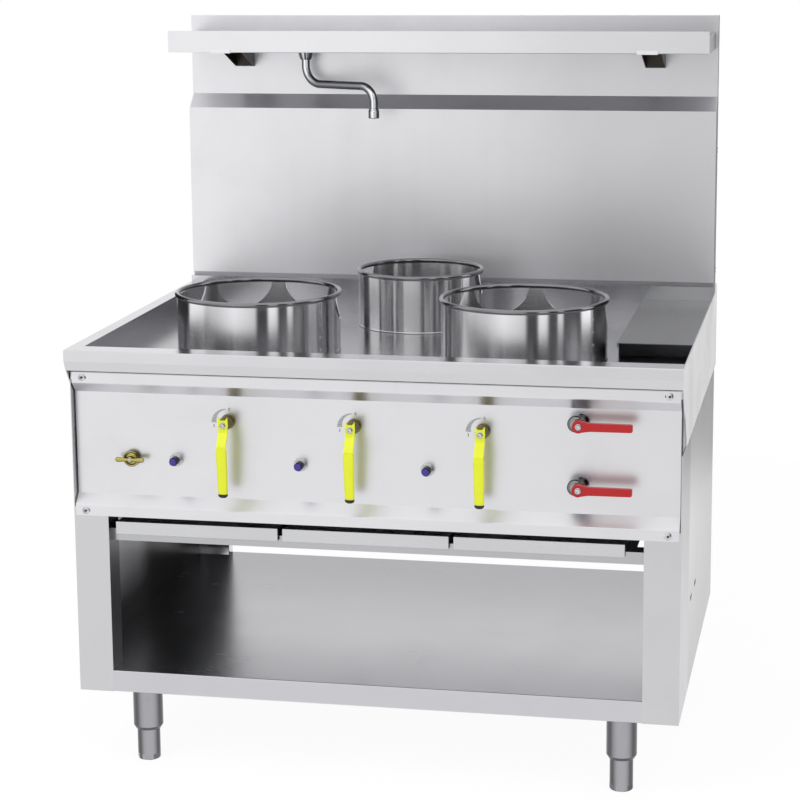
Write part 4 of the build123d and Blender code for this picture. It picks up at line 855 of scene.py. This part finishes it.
class Tree(Recipe):
    """A Geometry Nodes tree under construction."""
    family = "GeometryNode"

    def __init__(self, name, **inputs):
        self.tree = bpy.data.node_groups.new(name, "GeometryNodeTree")
        self.tree.is_modifier = True
        self.sockets = {}
        self.tree.interface.new_socket("Geometry", in_out="INPUT", socket_type="NodeSocketGeometry")
        for key, (kind, value) in inputs.items():
            socket = self.tree.interface.new_socket(key, in_out="INPUT", socket_type="NodeSocket" + kind)
            self.sockets[socket.identifier] = value
        self.tree.interface.new_socket("Geometry", in_out="OUTPUT", socket_type="NodeSocketGeometry")
        self.given = self.tree.nodes.new("NodeGroupInput")

    def value(self, key):
        return Signal(self, pick(self.given.outputs, key))

    def finish(self, geometry, steel, dark):
        """Makes the instances real and gives them steel, and the faces marked dark, the painted shade in the
        screw sockets, their own.
        """
        real = self.add("RealizeInstances", 0, {"Geometry": geometry})
        real = self.add("SetMaterial", 0, {"Geometry": real, "Material": steel})
        marked = self.add("InputNamedAttribute", 0, {"Name": "dark"}, data_type="BOOLEAN")
        real = self.add("SetMaterial", 0, {"Geometry": real, "Selection": marked, "Material": dark})
        output = self.tree.nodes.new("NodeGroupOutput")
        self.tree.links.new(real.socket, output.inputs[0])

    def grow(self, name, points, turns, sizes):
        """Runs the tree on points that carry their turn and size, and returns a plain mesh."""
        mesh = bpy.data.meshes.new(name)
        mesh.from_pydata(points, [], [])
        turn = mesh.attributes.new("turn", "FLOAT_VECTOR", "POINT")
        turn.data.foreach_set("vector", [c for t in turns for c in t])
        size = mesh.attributes.new("size", "FLOAT", "POINT")
        size.data.foreach_set("value", sizes)
        seed = linked(name + "_points", mesh)
        modifier = seed.modifiers.new("grow", "NODES")
        modifier.node_group = self.tree
        for identifier, value in self.sockets.items():
            modifier[identifier] = value
        grown = seed.evaluated_get(bpy.context.evaluated_depsgraph_get())
        result = bpy.data.meshes.new_from_object(grown)
        seed.modifiers.clear()
        bpy.data.objects.remove(seed)
        return result


class WOK_OT_screws(bpy.types.Operator):
    """Cup-washered screws of the panel's corners and the splash wall's edges"""
    bl_idname = "wok_range.screws"
    bl_label = "Screws"

    # a screw's stations over its sheet: washer's rim and top, head's rim and top, socket's floor
    heights = (0.0, 0.0004, 0.0012, 0.0016, 0.0022, 0.00225)
    panel_in, panel_up, wall_in, wall_size = 0.0209, 0.010, 0.014, 0.5

    def execute(self, context):
        p = context.scene.wok_range_pieces
        tree = Tree("screw_heads", **{
            "Washer radius": ("Float", p.screw_washer), "Head radius": ("Float", p.screw_head),
            "Socket radius": ("Float", p.screw_socket), "Steel": ("Material", SLOT_FINISH["screw_steel"]),
            "Painted socket shade": ("Material", SLOT_FINISH["black_plastic"])})
        washer, head, socket = (tree.value(k) for k in ("Washer radius", "Head radius", "Socket radius"))

        def cone(low, high, level, sides, dark=False):
            near, far = self.heights[level:level + 2]
            body = tree.add("MeshCone", 0, {
                "Vertices": sides, "Radius Bottom": low, "Radius Top": high, "Depth": far - near})
            body = tree.add("Transform", 0, {"Geometry": body, "Translation": (0, 0, near)})
            return tree.add("StoreNamedAttribute", 0, {"Geometry": body, "Name": "dark", "Value": dark},
                            data_type="BOOLEAN", domain="FACE")

        joined = tree.add("JoinGeometry", 0, {"Geometry": [
            cone(washer, washer, 0, 40), cone(washer, washer * 0.72, 1, 40), cone(head, head, 2, 32),
            # the socket is drawn black: painted shade in its recess
            cone(head, head * 0.75, 3, 32), cone(socket, socket, 4, 6, dark=True)]})
        points = tree.add("MeshToPoints", 0, {"Mesh": tree.value("Geometry")})
        turn = tree.add("InputNamedAttribute", 0, {"Name": "turn"}, data_type="FLOAT_VECTOR")
        size = tree.add("InputNamedAttribute", 0, {"Name": "size"}, data_type="FLOAT")
        tree.finish(tree.add("InstanceOnPoints", 0, {
            "Points": points, "Instance": joined, "Rotation": turn, "Scale": size}),
            tree.value("Steel"), tree.value("Painted socket shade"))

        low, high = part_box("control_panel")
        screws = [((x, low.y, z), (pi / 2, 0, 0), 1.0)
                  for x in (low.x + self.panel_in, high.x - self.panel_in)
                  for z in (low.z + self.panel_up, high.z - self.panel_up)]
        low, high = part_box("backsplash")
        screws += [((x, high.y - self.wall_in, z), (0, side * pi / 2, 0), self.wall_size)
                   for side, x in ((-1, low.x), (1, high.x)) for z in splash_screw_heights()]
        place_piece("screw_heads", tree.grow("screw_heads", *zip(*screws)), "screw_steel", "range_body",
                    "screws")
        return {"FINISHED"}


def splash_screw_heights():
    """Heights of the splash wall's screws, read from the CAD screws at its left edge."""
    edge, between_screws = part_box("backsplash")[0].x, 0.0079
    heads = []
    for z in sorted(v.co.z for v in nodes["screws"].data.vertices if v.co.x < edge - 0.001):
        if heads and z - heads[-1][0] < between_screws:
            heads[-1].append(z)
        else:
            heads.append([z])
    return [(head[0] + head[-1]) / 2 for head in heads]


# ---- stage
# the studio round the range as its polished steel shows it: degrees from the cook's place
# towards the cook's right, and how light it is there
ROOM = ((-180, 0.85), (-156, 0.85), (-150, 0.04), (-112, 0.02), (-102, 0.03), (-97, 1.00), (-70, 1.00),
        (-64, 0.72), (-45, 0.72), (-20, 0.97), (-5, 0.84), (9, 0.70), (13, 0.04), (26, 0.04), (29, 1.00),
        (39, 0.95), (43, 0.05), (54, 0.05), (56, 1.00), (62, 1.00), (64, 0.05), (91, 0.04), (95, 1.20),
        (112, 1.20), (116, 0.06), (124, 0.03), (150, 0.02), (167, 0.03), (171, 0.90), (180, 0.85))
LAMPS = (("key", (-1.6, -3.0, 3.4), 2.6, 60.0), ("fill", (2.6, -2.2, 2.2), 1.8, 20.0))  # size and watts
LAMPS_AIM = Vector((0, 0, 0.8))


class WOK_OT_stage(bpy.types.Operator):
    """Sets the camera, the plain pale floor and the soft light"""
    bl_idname = "wok_range.stage"
    bl_label = "Stage"

    ceiling_from, ceiling_to = 0.35, 0.75  # heights on the unit sphere where walls end, ceiling begins
    floor_radius, floor_grey, floor_glow, floor_clear = 2.6, 0.86, 1.03, 0.90

    def execute(self, context):
        s = context.scene.wok_range_stage
        context.scene.view_settings.view_transform = "Standard"
        camera = linked("camera", bpy.data.cameras.new("camera"))
        camera.matrix_world = (Matrix.Translation(s.place) @ Matrix.Rotation(s.turn, 4, "Z")
                               @ Matrix.Rotation(s.tilt, 4, "X") @ Matrix.Rotation(s.roll, 4, "Z"))
        camera.data.lens, camera.data.sensor_width = s.lens, 36.0
        camera.data.shift_y, camera.data.clip_end = s.shift, 200.0
        context.scene.camera = camera
        self.light_room(context, s)
        self.lay_floor(context)
        for name, at, size, power in LAMPS:
            lamp = bpy.data.lights.new(name, "AREA")
            lamp.shape, lamp.size, lamp.energy = "DISK", size, power
            lit = linked(name, lamp)
            lit.location = at
            lit.rotation_euler = (LAMPS_AIM - Vector(at)).to_track_quat("-Z", "Y").to_euler()
            lit.visible_glossy = False
        return {"FINISHED"}

    def light_room(self, context, s):
        """White to the camera, the studio to reflections, soft light to the rest."""
        world = bpy.data.worlds.new("studio")
        context.scene.world = world
        world.use_nodes = True
        r = Recipe(world.node_tree)
        clear, glossy = r.ray("Camera", "Transmission"), r.ray("Glossy")
        side, back, up = (r.axis(name, "Generated") for name in "XYZ")
        turn = side.math("ARCTAN2", 0.0 - back) / (2 * pi) + 0.5
        room = r.add("ValToRGB", "Color", {"Fac": turn}, [
            ((degrees + 180) / 360, light) for degrees, light in ROOM])
        sky = up.between(self.ceiling_from, self.ceiling_to)
        sky = room * s.room * (1.0 - sky) + sky * s.ceiling
        strength = clear + (1.0 - clear) * (glossy * sky + (1.0 - glossy) * s.soft_light)
        r.add("OutputWorld", None, {"Surface": r.add("Background", "Background", {
            "Color": (1.0, 1.0, 1.0), "Strength": strength})})

    def lay_floor(self, context):
        """A pale floor that the camera and reflections see nearly white."""
        bpy.ops.mesh.primitive_circle_add(vertices=96, radius=self.floor_radius, fill_type="NGON")
        floor = context.object
        floor.name = "floor"
        material = bpy.data.materials.new("floor_paint")
        material.use_nodes = True
        r = Recipe(material.node_tree)
        grey = (self.floor_grey,) * 3
        r.add("OutputMaterial", None, {"Surface": r.add("MixShader", 0, {
            0: r.ray("Camera", "Glossy", "Transmission") * self.floor_clear,
            1: r.add("BsdfDiffuse", "BSDF", {"Color": grey}),
            2: r.add("Emission", "Emission", {"Color": (1.0, 1.0, 1.0), "Strength": self.floor_glow})})})
        floor.data.materials.append(material)


# ---- add-on
class WOK_PT_pieces(bpy.types.Panel):
    bl_idname = "WOK_PT_pieces"
    bl_label = "Wok range"
    bl_space_type = "VIEW_3D"
    bl_region_type = "UI"
    bl_category = "Wok range"

    def draw(self, context):
        for operator in OPERATORS:
            self.layout.operator(operator.bl_idname)
        for name in GROUPS:
            group, box = getattr(context.scene, name), self.layout.box()
            for key in group.bl_rna.properties.keys():
                if key not in ("rna_type", "name"):
                    box.prop(group, key)


GROUPS = {"wok_range_finishes": WokRangeFinishes, "wok_range_pieces": WokRangePieces,
          "wok_range_stage": WokRangeStage}
OPERATORS = (WOK_OT_stage, WOK_OT_finishes, WOK_OT_gas_levers, WOK_OT_heat_scales,
             WOK_OT_igniters, WOK_OT_pilot_tap, WOK_OT_water_levers, WOK_OT_screws,
             WOK_OT_spout, WOK_OT_wok_rings, WOK_OT_side_skins)
CLASSES = (*GROUPS.values(), *OPERATORS, WOK_PT_pieces)


def register():
    for kind in CLASSES:
        bpy.utils.register_class(kind)
    for name, kind in GROUPS.items():
        setattr(bpy.types.Scene, name, bpy.props.PointerProperty(type=kind))


def unregister():
    for name in GROUPS:
        delattr(bpy.types.Scene, name)
    for kind in reversed(CLASSES):
        bpy.utils.unregister_class(kind)


def main():
    register()
    for operator in OPERATORS:
        group, name = operator.bl_idname.split(".")
        getattr(getattr(bpy.ops, group), name)()


if __name__ == "__main__":
    main()
